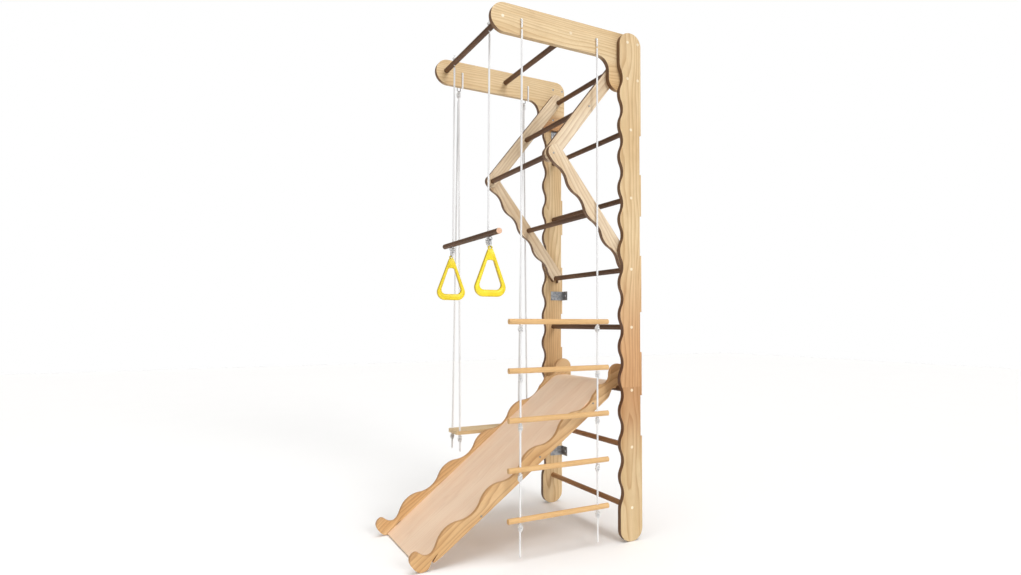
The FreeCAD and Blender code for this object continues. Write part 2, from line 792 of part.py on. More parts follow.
rung("zigzag_apex_rung", *APEX, OUTER_STEP_HALF, "wood_screw_radius", "28")
rung("zigzag_upper_rung", *UPPER_STEP, INNER_STEP_HALF, "wood_screw_radius", "28")
rung("zigzag_lower_rung", *LOWER_STEP, OUTER_STEP_HALF, "wood_screw_radius", "28")
for side in (1, -1):
    wood_screws.append(wood_screw(OUTER_STEP_FACE, *APEX, side, -1, STEP_SCREW))
    wood_screws.append(wood_screw(OUTER_STEP_FACE, *LOWER_STEP, side, -1, STEP_SCREW))
    wood_screws.append(wood_screw(INNER_STEP_FACE, *UPPER_STEP, side, -1, STEP_SCREW))
group("wood_screws", wood_screws)


# ---------------------------------------------------------------- ropes and knots


def rope_run(label, start, end):
    """A tight straight stretch of rope."""
    run = doc.addObject("Part::Cylinder", label)
    run.Radius = size["rope_radius"]
    run.setExpression("Radius", cell("rope_radius"))
    way = FreeCAD.Vector(*end) - FreeCAD.Vector(*start)
    run.Height = way.Length
    turn = FreeCAD.Rotation(FreeCAD.Vector(0, 0, 1), way)
    run.Placement = FreeCAD.Placement(FreeCAD.Vector(*start), turn)
    return run


def rope_round(label, points, bend):
    """A rope led tightly round edges: straight runs in an XZ plane joined by arcs of one radius."""
    shifted = [(x, z, bend if 0 < number < len(points) - 1 else 0) for number, (x, y, z) in enumerate(points)]
    y = points[0][1]
    wire = Part.Wire([curve.toShape() for curve in corner_chain(shifted)])
    wire.rotate(FreeCAD.Vector(0, 0, 0), FreeCAD.Vector(1, 0, 0), 90)
    wire.translate(FreeCAD.Vector(0, y, 0))
    start = FreeCAD.Vector(*points[0])
    way = FreeCAD.Vector(*points[1]) - start
    ring = Part.Wire([Part.Circle(start, way, size["rope_radius"]).toShape()])
    tube = wire.makePipeShell([ring], True, False)
    expected = math.pi * size["rope_radius"] ** 2 * wire.Length
    print(label, "length %.1f" % wire.Length, "volume ratio %.4f" % (tube.Volume / expected))
    feature = doc.addObject("Part::Feature", label)
    feature.Shape = tube
    return feature


def knot(middle, way=(0, 0, 1), kind="knot"):
    """An egg-shaped knot with the rope's own bore through it, lying along the given direction."""
    egg = doc.addObject("Part::Ellipsoid", "knot_egg")
    egg.setExpression("Radius1", cell(kind + "_half_height"))
    egg.setExpression("Radius2", cell(kind + "_radius"))
    egg.setExpression("Radius3", cell(kind + "_radius"))
    bore = doc.addObject("Part::Cylinder", "knot_bore")
    bore.setExpression("Radius", cell("rope_radius"))
    bore.setExpression("Height", cell("4 * knot_half_height"))
    turn = FreeCAD.Rotation(FreeCAD.Vector(0, 0, 1), FreeCAD.Vector(*way))
    along = FreeCAD.Vector(*way).normalize() * (2 * size["knot_half_height"])
    centre = FreeCAD.Vector(*middle)
    egg.Placement = FreeCAD.Placement(centre, turn)
    bore.Placement = FreeCAD.Placement(centre - along, turn)
    tied = doc.addObject("Part::Cut", "knot")
    tied.Base = egg
    tied.Tool = bore
    return tied


# ---------------------------------------------------------------- trapeze and rings

front_y = size["front_rung_reach"]
rung_foot = size["overhead_height"] - size["rung_radius"]
trapeze_hinge = rung_foot - 6
bar_z = size["trapeze_bar_height"]
bar_foot = bar_z - size["trapeze_bar_radius"]
knot_reach = size["knot_half_height"]
top_knots = []
rope_ends = []
trapeze_knots = []

for side, word in ((1, "near"), (-1, "far")):
    x = side * size["trapeze_rope_place"]
    small_reach = size["small_knot_half_height"]
    knot_z = size["overhead_height"] + size["rung_radius"] + small_reach
    rope_ends.append(rope_run("trapeze_hitch", (x, front_y, rung_foot - 1.5), (x, front_y, knot_z + small_reach + 9.5)))
    top_knots.append(knot((x, front_y, knot_z), kind="small_knot"))
    tail_z = bar_foot - 2 * knot_reach - 12
    node(rope_run("trapeze_rope_" + word, (x, front_y, trapeze_hinge - 4.5), (x, front_y, tail_z)),
         word + "_trapeze_rope")
    trapeze_knots.append(knot((x, front_y, bar_foot - knot_reach)))
group("trapeze_knots", trapeze_knots)

bar = doc.addObject("PartDesign::Body", "trapeze_bar_body")
bar_sketch = sketch_in(bar)
add_circles(bar_sketch, [("0", "0", "trapeze_bar_radius")])
pad(bar, bar_sketch, "trapeze_bar_length", both_ways=True)
bar_bores = [(way + "trapeze_rope_place", "0", "rope_radius + 0.7") for way in ("", "-1 * ")]
pocket(bar, bar_bores, "2 * trapeze_bar_radius", raised="-1 * trapeze_bar_radius", role="XY_Plane")
eye_bores = [(way + "ring_place", "0", "wire_radius") for way in ("", "-1 * ")]
pocket(bar, eye_bores, "trapeze_bar_radius", raised="-1 * trapeze_bar_radius", role="XY_Plane")
place(bar, y="front_rung_reach", z="trapeze_bar_height")
node(bar, "trapeze_bar")

eye_z = bar_foot - size["eye_radius"] - size["wire_radius"]
ring_hinge = eye_z - size["eye_radius"] + 2 * size["wire_radius"] + 0.3


def screw_eye(x):
    eye = doc.addObject("Part::Torus", "eye_loop")
    eye.setExpression("Radius1", cell("eye_radius"))
    eye.setExpression("Radius2", cell("wire_radius"))
    turn = FreeCAD.Rotation(FreeCAD.Vector(0, 1, 0), 90)
    eye.Placement = FreeCAD.Placement(FreeCAD.Vector(x, front_y, eye_z), turn)
    shank = doc.addObject("Part::Cylinder", "eye_shank")
    shank.setExpression("Radius", cell("wire_radius"))
    shank.Height = size["trapeze_bar_radius"] - 1 + size["wire_radius"]
    shank.Placement.Base = FreeCAD.Vector(x, front_y, bar_foot - size["wire_radius"])
    return fused("screw_eye", eye, shank)


group("ring_eyes", [screw_eye(side * size["ring_place"]) for side in (1, -1)])


def snap_link(label, top, turned=0):
    """A closed oval of round wire hanging from its top point, in an XZ plane unless it is turned about Z."""
    half = size["link_width"] / 2
    low = -size["link_height"]
    curl = 5
    flat = [(0, 0, 0), (half, 0, curl), (half, low, curl), (-half, low, curl), (-half, 0, curl), (0, 0, 0)]
    path = Part.Wire([curve.toShape() for curve in corner_chain(flat)])
    section = Part.Wire([Part.Circle(vector((0, 0)), FreeCAD.Vector(1, 0, 0), size["wire_radius"]).toShape()])
    oval = path.makePipeShell([section], True, False)
    oval.rotate(vector((0, 0)), FreeCAD.Vector(1, 0, 0), 90)
    oval.rotate(vector((0, 0)), FreeCAD.Vector(0, 0, 1), turned)
    oval.translate(FreeCAD.Vector(*top))
    link = doc.addObject("Part::Feature", label + "_shape")
    link.Shape = oval
    return link


ring_hole_z = ring_hinge - size["link_height"] - 2.9
ring_top = ring_hole_z + 9


def mirrored_corners(right):
    """A closed chain of corners from its right half, starting and ending on the centre line."""
    left = [(-u, v, r) for u, v, r in reversed(right)]
    start = (0, right[0][1], 0)
    return [start] + right + left + [start]


def hand_ring(x, label):
    """A rounded triangular hand ring in a YZ plane with a thin lug and an eye at its top."""
    width = size["ring_width"] / 2
    height = size["ring_height"]
    body = doc.addObject("PartDesign::Body", label + "_body")
    outline = sketch_in(body)
    add_outline(outline, corner_chain(mirrored_corners([
        (13, 0, 11),
        (width + 2, -0.8 * height, 34),
        (0.68 * width, -height, 24),
    ])))
    pad(body, outline, "ring_thick", both_ways=True)
    opening = sketch_in(body, raised="ring_thick / -2")
    add_outline(opening, corner_chain(mirrored_corners([
        (17, -66, 15),
        (0.76 * width, -0.85 * height, 19),
    ])))
    pocket_from(body, opening, "ring_thick")
    rim = [
        "Edge%d" % number
        for number, edge in enumerate(body.Shape.Edges, start=1)
        if edge.BoundBox.XLength < 1e-6
    ]
    ring_pad = body.Tip
    rounding = body.newObject("PartDesign::Fillet", body.Name + "_rounding")
    rounding.Base = (ring_pad, rim)
    rounding.Radius = 7
    body.Tip = rounding
    doc.recompute()
    for face, away in (("ring_thick / 2", False), ("ring_thick / -2", True)):
        relief = sketch_in(body, raised=face)
        add_outline(relief, corner_chain([(-40, 10, 0), (40, 10, 0), (40, -30, 0), (-40, -30, 0), (-40, 10, 0)]))
        pocket_from(body, relief, "ring_thick / 2 - 6", along_normal=away)
    pocket(body, [("0", "-9", "6")], "ring_thick", raised="ring_thick / -2")
    body.Placement.Base = FreeCAD.Vector(x, front_y, ring_top)
    return node(body, label)


for side, word in ((1, "near"), (-1, "far")):
    ring_link = snap_link("ring_link", (side * size["ring_place"], front_y, ring_hinge))
    node(ring_link, word + "_ring_link")
    hand_ring(side * size["ring_place"], word + "_hand_ring")


# ---------------------------------------------------------------- plank swing

swing_x = -size["swing_place"]
hole_lines = [size[line] for line in ROPE_HOLES]
hang_middle = sum(hole_lines) / 2
hang_half = (hole_lines[1] - hole_lines[0]) / 2
arm_inner = worth("frame_width / 2 - 2 * board_thick")
arm_outer = worth("frame_width / 2 - board_thick")
hole_z = size["rope_hole_height"]
swing_eye_z = size["swing_eye_height"]
swing_hinge = swing_eye_z - size["swing_eye_radius"] + size["swing_eye_wire"] + size["wire_radius"] + 0.3
seat_z = size["swing_seat_height"]
seat_foot = seat_z - size["swing_seat_thick"]

seat = doc.addObject("PartDesign::Body", "seat_body")
seat_sketch = sketch_in(seat, "XY_Plane")
half_seat = size["swing_seat_width"] / 2
long_seat = size["swing_seat_length"] / 2
add_outline(seat_sketch, corner_chain([
    (0, -long_seat, 0),
    (half_seat, -long_seat, 16),
    (half_seat, long_seat, 16),
    (-half_seat, long_seat, 16),
    (-half_seat, -long_seat, 16),
    (0, -long_seat, 0),
]))
pad(seat, seat_sketch, "swing_seat_thick")
seat_bores = [
    (str(across * size["swing_leg_spread"]), str(along * hang_half), "rope_radius + 1.2")
    for across in (1, -1)
    for along in (1, -1)
]
pocket(seat, seat_bores, "swing_seat_thick", role="XY_Plane")
seat.Placement.Base = FreeCAD.Vector(swing_x, hang_middle, seat_foot)
node(seat, "swing_seat")

swing_eyes = []
swing_links = []
swing_ropes = []
swing_top_knots = []
swing_seat_knots = []
for y in hole_lines:
    loop = doc.addObject("Part::Torus", "swing_eye_loop")
    loop.setExpression("Radius1", cell("swing_eye_radius"))
    loop.setExpression("Radius2", cell("swing_eye_wire"))
    upright_turn = FreeCAD.Rotation(FreeCAD.Vector(1, 0, 0), 90)
    loop.Placement = FreeCAD.Placement(FreeCAD.Vector(swing_x, y, swing_eye_z), upright_turn)
    shank_run = size["swing_place"] - size["swing_eye_radius"] - arm_outer + EYE_DEPTH
    shank_middle = -(arm_outer - EYE_DEPTH + shank_run / 2)
    shank = cylinder_x("swing_eye_shank", "swing_eye_shank", str(shank_run), (shank_middle, y, swing_eye_z))
    swing_eyes.append(fused("swing_eye", loop, shank))
    link = snap_link("swing_link", (swing_x, y, swing_hinge), 90)
    swing_links.append(link)

    tail_x = -(arm_inner - size["rope_radius"] - 0.5)
    tail = [(-(arm_outer + 2 * knot_reach + 6), y, hole_z), (tail_x, y, hole_z), (tail_x, y, swing_hinge - 40)]
    rope_ends.append(rope_round("swing_tail", tail, 5))
    top_knots.append(knot((-(arm_outer + knot_reach), y, hole_z), (1, 0, 0)))

    link_foot = swing_hinge - size["link_height"] - size["wire_radius"]
    top_knot_z = link_foot - 0.3 - knot_reach
    swing_top_knots.append(knot((swing_x, y, top_knot_z)))
    fork_z = top_knot_z - knot_reach - 8
    for side, start in ((1, 0), (-1, 2 * size["rope_radius"] + 0.4)):
        top = FreeCAD.Vector(swing_x + side * start, y, fork_z)
        at_seat = FreeCAD.Vector(swing_x + side * size["swing_leg_spread"], y, seat_z)
        way = at_seat - top
        end = top + way * ((top.z - size["swing_tail_height"]) / (top.z - seat_z))
        if side > 0:
            # The inner leg runs up through the top knot to the link.
            swing_ropes.append(rope_round("swing_leg", [(swing_x, y, link_foot - 0.3), tuple(top), tuple(end)], 400))
        else:
            swing_ropes.append(rope_run("swing_leg", tuple(top), tuple(end)))
        tied = top + way * ((top.z - seat_foot + knot_reach + 0.5) / (top.z - seat_z))
        swing_seat_knots.append(knot(tuple(tied), tuple(way)))
group("swing_screw_eyes", swing_eyes)
group("swing_links", swing_links)
group("swing_ropes", swing_ropes)
group("swing_top_knots", swing_top_knots)
group("swing_seat_knots", swing_seat_knots)


# ---------------------------------------------------------------- rope ladder

ladder_x = size["ladder_place"]
ladder_hinge = hole_z - 42
ladder_knots = []

for number in range(5):
    body = doc.addObject("PartDesign::Body", "ladder_rung_body")
    sketch = sketch_in(body, "XZ_Plane")
    add_circles(sketch, [("0", "0", "rung_radius - 1")])
    pad(body, sketch, "ladder_rung_length", both_ways=True)
    bores = [("0", str(way * hang_half), "rope_radius + 0.7") for way in (1, -1)]
    pocket(body, bores, "2 * rung_radius", raised="1 - rung_radius", role="XY_Plane")
    step_z = size["ladder_first_rung"] - number * size["ladder_pitch"]
    body.Placement.Base = FreeCAD.Vector(ladder_x, hang_middle, step_z)
    node(body, "ladder_rung_%d" % (number + 1))
    for y in hole_lines:
        ladder_knots.append(knot((ladder_x, y, step_z - size["rung_radius"] + 1 - knot_reach)))

for y, word in zip(hole_lines, ("front", "rear")):
    corners = [
        (arm_inner - 2 * knot_reach - 14, y, hole_z),
        (ladder_x, y, hole_z),
        (ladder_x, y, ladder_hinge + 4),
    ]
    rope_ends.append(rope_round("ladder_hitch", corners, 8))
    top_knots.append(knot((arm_inner - knot_reach, y, hole_z), (1, 0, 0)))
    top = (ladder_x, y, ladder_hinge - size["joint_gap"])
    node(rope_run("ladder_rope_" + word, top, (ladder_x, y, size["ladder_tail_height"])), word + "_ladder_rope")
group("fixed_rope_ends", rope_ends)
group("ladder_knots", ladder_knots)
group("top_knots", top_knots)


# ---------------------------------------------------------------- slide

slope = math.radians(size["slide_angle"])
up_slope = (math.cos(slope), math.sin(slope))
out_slope = (-math.sin(slope), math.cos(slope))
hook_y = size["rung_depth_line"]
hook_z = size["rung_height_e"]
slide_pitch = size["slide_wave_pitch"]
slide_depth = size["slide_wave_depth"]
first_valley = (-988, 63)
WAVE_HALVES = 8


def on_board(along, off):
    """A point of the slide's side board: along its slope and out from the first valley."""
    return (
        first_valley[0] + along * up_slope[0] + off * out_slope[0],
        first_valley[1] + along * up_slope[1] + off * out_slope[1],
    )


def slide_board_outline():
    """A side board with a scalloped top, a round foot and a lobe at the top that is notched for a rung."""
    notch = size["rung_radius"] + size["notch_gap"]
    crossing = on_board(slide_pitch / 4, slide_depth / 2)
    under_start = (-898, 75)
    last_crossing = on_board(slide_pitch * (0.25 + WAVE_HALVES / 2), slide_depth / 2)
    last_crest = on_board(slide_pitch * (0.5 + WAVE_HALVES / 2), slide_depth)
    down_slope_way = (-up_slope[0], -up_slope[1])
    steep = (-0.35, -0.94)
    foot_curve = spline([crossing, first_valley, (-1012, 68), (-1042, 85), (-1065, 64), (-1054, 26), (-1020, 1.5),
                         (-990, 9), (-974, 40), (-950, 63), under_start],
                        (steep[0] * 60, steep[1] * 60), (up_slope[0] * 60, up_slope[1] * 60))
    under = corner_chain([
        under_start + (0,),
        (-112, 655, 40),
        (-92, hook_z, 6),
        (hook_y - notch, hook_z, 0),
    ])
    hook = [Part.Arc(FreeCAD.Vector(hook_y - notch, hook_z, 0), FreeCAD.Vector(hook_y, hook_z + notch, 0),
                     FreeCAD.Vector(hook_y + notch, hook_z, 0))]
    lobe_front = -103
    lobe = corner_chain([
        (hook_y + notch, hook_z, 0),
        (-6, hook_z, 22),
        (-6, 815, 48),
        (lobe_front, 815, 48),
        (lobe_front, 762, 0),
    ])
    back_to_wave = spline([(lobe_front, 762), (-112, 735), (-132, 721), last_crest, last_crossing],
                          (0, -30), (-0.85 * 60, -0.2 * 60 - 30))
    waves = wave_chain(last_crossing, down_slope_way, slide_pitch, slide_depth, WAVE_HALVES, 1)
    return waves + [foot_curve] + under + hook + lobe + [back_to_wave]


bed_slope = math.radians(size["bed_angle"])
bed_thick = size["bed_thick"]
bed_foot = (size["bed_foot_reach"], bed_thick * math.cos(bed_slope) + 1.2)
bed_bend = bed_foot[0] + (size["bed_top_height"] - bed_foot[1]) / math.tan(bed_slope)


def bed_outline():
    """A bent plate: straight down the slope and level where it passes over the rung."""
    top = size["bed_top_height"]
    end = size["bed_end_reach"]
    lower_bend = bed_bend + bed_thick * math.tan(bed_slope / 2)
    lower_foot = (bed_foot[0] + bed_thick * math.sin(bed_slope), bed_foot[1] - bed_thick * math.cos(bed_slope))
    upper_side = [bed_foot + (0,), (bed_bend, top, 90), (end, top, 0)]
    lower_side = [(end, top - bed_thick, 0), (lower_bend, top - bed_thick, 90 + bed_thick), lower_foot + (0,)]
    return corner_chain(upper_side + lower_side + [bed_foot + (0,)])


def batten_middle(y):
    """The middle of a batten that lies against the bed's underside at depth y."""
    height = bed_foot[1] + (y - bed_foot[0]) * math.tan(bed_slope)
    drop = bed_thick + size["batten_thick"] / 2
    return (y + drop * math.sin(bed_slope), height - drop * math.cos(bed_slope))


batten_spots = [batten_middle(y) for y in (-770, -490, -210)]
SLIDE_INNER = "slide_width / 2 - slide_board_thick"

slide_board = board_body("slide_board", slide_board_outline(), "slide_board_thick", SLIDE_INNER)
screw_bores = [(str(y), str(z), ZIGZAG_PILOT) for y, z in batten_spots]
pocket(slide_board, screw_bores, "slide_board_thick")
mirrored_pair(slide_board, "slide_board")

bed = doc.addObject("PartDesign::Body", "bed_body")
bed_sketch = sketch_in(bed)
add_outline(bed_sketch, bed_outline())
pad(bed, bed_sketch, "slide_width - 2 * slide_board_thick - 0.2", both_ways=True)
node(bed, "slide_bed")

battens = []
slide_screws = []
for y, z in batten_spots:
    batten = doc.addObject("PartDesign::Body", "batten")
    sketch = sketch_in(batten)
    wide = size["batten_width"] / 2
    deep = size["batten_thick"] / 2
    box = [(-wide, -deep, 0), (wide, -deep, 0), (wide, deep, 0), (-wide, deep, 0), (-wide, -deep, 0)]
    add_outline(sketch, corner_chain(box))
    pad(batten, sketch, "slide_width - 2 * slide_board_thick - 0.2", both_ways=True)
    end_face = SLIDE_INNER + " - 0.1"
    pilot = [("0", "0", "wood_screw_radius")]
    pocket(batten, pilot, "24", raised=end_face, along_normal=False)
    pocket(batten, pilot, "24", raised="-1 * ( " + end_face + " )")
    tilt = FreeCAD.Rotation(FreeCAD.Vector(1, 0, 0), size["bed_angle"])
    batten.Placement = FreeCAD.Placement(FreeCAD.Vector(0, y, z), tilt)
    battens.append(batten)
    for side in (1, -1):
        slide_screws.append(wood_screw("slide_width / 2", str(y), str(z), side, -1, "40"))
group("slide_battens", battens)
group("slide_screws", slide_screws)


# ---------------------------------------------------------------- check and write

doc.recompute()
for thing in doc.Objects:
    if "Invalid" in thing.State or "Error" in thing.State:
        raise RuntimeError(thing.Name + " (" + thing.Label + ") failed: " + ", ".join(thing.State))
for thing in sub_parts:
    if thing.Shape.isNull() or not thing.Shape.isValid() or thing.Shape.Volume <= 0:
        raise RuntimeError(thing.Label + " has no valid shape")

os.makedirs("parts", exist_ok=True)
for thing in sub_parts:
    thing.Shape.exportStep(os.path.join("parts", thing.Label + ".step"))
    print("%-24s solids %2d  volume %9.0f" % (thing.Label, len(thing.Shape.Solids), thing.Shape.Volume))
print(len(sub_parts), "sub-parts")
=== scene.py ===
import math

import bpy
import numpy as np
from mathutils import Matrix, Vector


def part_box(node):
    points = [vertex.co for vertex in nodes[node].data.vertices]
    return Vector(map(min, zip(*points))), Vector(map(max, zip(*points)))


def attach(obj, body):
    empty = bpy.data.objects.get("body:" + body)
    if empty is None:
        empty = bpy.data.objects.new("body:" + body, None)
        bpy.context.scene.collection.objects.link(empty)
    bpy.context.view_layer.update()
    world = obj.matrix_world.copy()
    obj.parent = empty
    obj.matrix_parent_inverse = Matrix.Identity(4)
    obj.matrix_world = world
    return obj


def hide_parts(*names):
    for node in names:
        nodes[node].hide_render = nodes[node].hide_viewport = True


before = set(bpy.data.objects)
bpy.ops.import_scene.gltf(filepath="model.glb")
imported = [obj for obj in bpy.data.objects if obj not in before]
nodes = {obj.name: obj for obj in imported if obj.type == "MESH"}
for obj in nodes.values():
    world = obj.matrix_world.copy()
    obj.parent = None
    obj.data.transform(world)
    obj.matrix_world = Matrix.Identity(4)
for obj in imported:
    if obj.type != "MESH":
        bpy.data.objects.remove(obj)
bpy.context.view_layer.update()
scene = bpy.context.scene
print("frame loaded,", len(nodes), "nodes")

# Camera: stands in front of the climbing frame, on its near side, and looks slightly up.
cameraValues = {
    "place": (2.9386, -1.8442, 1.0116),
    "turn": 59.348,          # degrees left of straight at the wall
    "lift": 2.47,            # degrees up
    "focal": 23.15,          # mm on a 36 mm sensor
    "shift": (-0.0681, 0.0071),
}


def makeCamera(values):
    turn, lift = math.radians(values["turn"]), math.radians(values["lift"])
    look = Vector((-math.sin(turn) * math.cos(lift), math.cos(turn) * math.cos(lift), math.sin(lift)))
    data = bpy.data.cameras.new("playCamera")
    data.sensor_width = 36
    data.lens = values["focal"]
    data.shift_x, data.shift_y = values["shift"]
    data.dof.use_dof = False
    camera = bpy.data.objects.new("playCamera", data)
    camera.location = values["place"]
    camera.rotation_mode = "QUATERNION"
    camera.rotation_quaternion = look.to_track_quat("-Z", "Y")
    scene.collection.objects.link(camera)
    scene.camera = camera


makeCamera(cameraValues)
scene.view_settings.view_transform = "Standard"

# Light: a broad soft light from the near side, one from straight above, a weak lamp in front
# and a dim room, so that undersides and front edges stay dark.
lightValues = {
    "side": {"from": (1.0, 0.16, 0.40), "strength": 1.42, "spread": 22},
    "above": {"from": (0.10, 0.05, 1.0), "strength": 1.75, "spread": 45},
    "front": {"place": (1.6, -4.4, 2.4), "aim": (0, -0.5, 1.2), "size": 2.6, "power": 18},
    "room": 0.36,
    "backdrop": 1.0,
}


def turnTo(thing, way):
    thing.rotation_mode = "QUATERNION"
    thing.rotation_quaternion = Vector(way).to_track_quat("-Z", "Y")


def makeFarLight(name, values):
    data = bpy.data.lights.new(name, "SUN")
    data.energy = values["strength"]
    data.angle = math.radians(values["spread"])
    lamp = bpy.data.objects.new(name, data)
    turnTo(lamp, -Vector(values["from"]))
    scene.collection.objects.link(lamp)


def makeLamp(name, values):
    data = bpy.data.lights.new(name, "AREA")
    data.shape = "DISK"
    data.size = values["size"]
    data.energy = values["power"]
    lamp = bpy.data.objects.new(name, data)
    lamp.location = values["place"]
    turnTo(lamp, Vector(values["aim"]) - Vector(values["place"]))
    scene.collection.objects.link(lamp)


makeFarLight("sideLight", lightValues["side"])
makeFarLight("aboveLight", lightValues["above"])
makeLamp("frontLamp", lightValues["front"])


# White where the camera sees past the frame, dim where it only lights it.
def makeRoom(values):
    world = bpy.data.worlds.new("playRoom")
    scene.world = world
    world.use_nodes = True
    tree = world.node_tree
    tree.nodes.clear()
    out = tree.nodes.new("ShaderNodeOutputWorld")
    mix = tree.nodes.new("ShaderNodeMixShader")
    path = tree.nodes.new("ShaderNodeLightPath")
    dim = tree.nodes.new("ShaderNodeBackground")
    bright = tree.nodes.new("ShaderNodeBackground")
    dim.inputs["Color"].default_value = (1.0, 0.98, 0.95, 1)
    dim.inputs["Strength"].default_value = values["room"]
    bright.inputs["Color"].default_value = (1, 1, 1, 1)
    bright.inputs["Strength"].default_value = values["backdrop"]
    tree.links.new(path.outputs["Is Camera Ray"], mix.inputs["Fac"])
    tree.links.new(dim.outputs[0], mix.inputs[1])
    tree.links.new(bright.outputs[0], mix.inputs[2])
    tree.links.new(mix.outputs[0], out.inputs["Surface"])


makeRoom(lightValues)
print("camera and light ready")


# Ropes. Every route is in metres, from where a rope leaves its fitting to its cut end.
ropeValues = {
    "diameter": 0.009,
    "strands": 3,
    "twistLength": 0.034,    # one full turn of the strands
    "groove": 0.24,          # how deep the grooves run, as a share of the radius
    "step": 0.0028,          # between two rings of points
    "sides": 24,             # points in a ring
    "pathStep": 0.004,       # between two points of the measured path
}
endDraw = (0.72, 0.94)       # radius of a cut end's last two rings, as shares of the full one
trapezeLines = {"near": 0.228, "far": -0.228}    # x of the trapeze's ropes
holeLines = {"front": -0.625, "rear": -0.237}    # y of the rope holes in the arms
holeZ = 2.342
frontRungY = -0.713
ladderX = 0.383
ladderSteps = [1.018, 0.808, 0.598, 0.388, 0.178]    # z of the ladder's rungs


# Start, middle and end of a straight rope.
def plainRoute(start, end):
    start, end = np.array(start, float), np.array(end, float)
    return [tuple(start), tuple((start + end) / 2), tuple(end)]


# The smooth line that a rope follows, as points read back from a NURBS route.
def ropeLine(name, points):
    curve = bpy.data.curves.new(name + "Route", "CURVE")
    curve.dimensions = "3D"
    curve.resolution_u = 24
    spline = curve.splines.new("NURBS")
    spline.points.add(len(points) - 1)
    spline.points.foreach_set("co", np.column_stack([np.array(points, float), np.ones(len(points))]).ravel())
    spline.order_u = 3
    spline.use_endpoint_u = True
    holder = bpy.data.objects.new(name + "Route", curve)
    scene.collection.objects.link(holder)
    bpy.context.view_layer.update()
    mesh = bpy.data.meshes.new_from_object(holder.evaluated_get(bpy.context.evaluated_depsgraph_get()))
    line = np.zeros(len(mesh.vertices) * 3)
    mesh.vertices.foreach_get("co", line)
    bpy.data.objects.remove(holder)
    bpy.data.meshes.remove(mesh)
    bpy.data.curves.remove(curve)
    return line.reshape(-1, 3)


# The same line with its points an even step apart, and its length.
def evenSteps(line, step):
    run = np.concatenate([[0], np.cumsum(np.linalg.norm(np.diff(line, axis=0), axis=1))])
    count = max(4, int(round(run[-1] / step)) + 1)
    at = np.linspace(0, run[-1], count)
    return np.column_stack([np.interp(at, run, line[:, k]) for k in range(3)]), at, run[-1]


# Two directions square to the line at every point, from one fixed side direction.
def carriedFrame(line):
    tangent = np.gradient(line, axis=0)
    tangent /= np.linalg.norm(tangent, axis=1)[:, None]
    side = np.where(np.abs(tangent[:, 1:2]) < 0.9, [[0.0, 1.0, 0.0]], [[0.0, 0.0, 1.0]])
    first = np.cross(side, tangent)
    first /= np.linalg.norm(first, axis=1)[:, None]
    return first, np.cross(tangent, first)


# Quads between each row of points and the next. Every row closes on itself, and in a closed grid
# the last row also meets the first.
def gridFaces(rows, columns, closed=False, shift=0):
    i, j = np.meshgrid(np.arange(rows if closed else rows - 1), np.arange(columns), indexing="ij")
    here, below, after = i * columns, (i + 1) % rows * columns, (j + 1) % columns
    quads = np.stack([here + j, here + after, below + after, below + j], -1)
    return quads.reshape(-1, 4) + shift


# Sum of the small volumes between each triangle and the origin: negative when faces point inwards.
def signedVolume(mesh):
    mesh.calc_loop_triangles()
    corners = np.zeros(len(mesh.loop_triangles) * 3, np.int32)
    mesh.loop_triangles.foreach_get("vertices", corners)
    places = np.zeros(len(mesh.vertices) * 3)
    mesh.vertices.foreach_get("co", places)
    triangles = places.reshape(-1, 3)[corners.reshape(-1, 3)]
    return float(np.einsum("ij,ij->i", triangles[:, 0], np.cross(triangles[:, 1], triangles[:, 2])).sum()) / 6


# A mesh piece at the origin; a closed one whose faces point inwards is turned the right way out.
def meshPiece(name, vertices, faces, uv=None, smooth=True):
    mesh = bpy.data.meshes.new(name)
    mesh.from_pydata(np.asarray(vertices).tolist(), [], [list(f) for f in faces])
    if uv is not None:
        corner = np.zeros(len(mesh.loops), np.int32)
        mesh.loops.foreach_get("vertex_index", corner)
        layer = mesh.uv_layers.new(name="ropeMap")
        layer.data.foreach_set("uv", np.asarray(uv)[corner].ravel())
    mesh.polygons.foreach_set("use_smooth", np.full(len(mesh.polygons), smooth))
    mesh.validate()
    mesh.update()
    if smooth and signedVolume(mesh) < 0:
        mesh.flip_normals()
    piece = bpy.data.objects.new(name, mesh)
    scene.collection.objects.link(piece)
    return piece


# Radius around a rope of round strands: 1 on a strand's crest, 1 - groove between two.
def lobeRadius(angle, strands, groove):
    span = 2 * math.pi / strands
    off = (angle % span) - span / 2
    strand = 1 / (1 + 1 / math.sin(math.pi / strands))
    centre = 1 - strand
    bare = centre * np.cos(off) + np.sqrt(np.maximum(strand ** 2 - (centre * np.sin(off)) ** 2, 0))
    low = centre * math.cos(span / 2)
    return 1 - groove * (1 - (bare - low) / (1 - low))


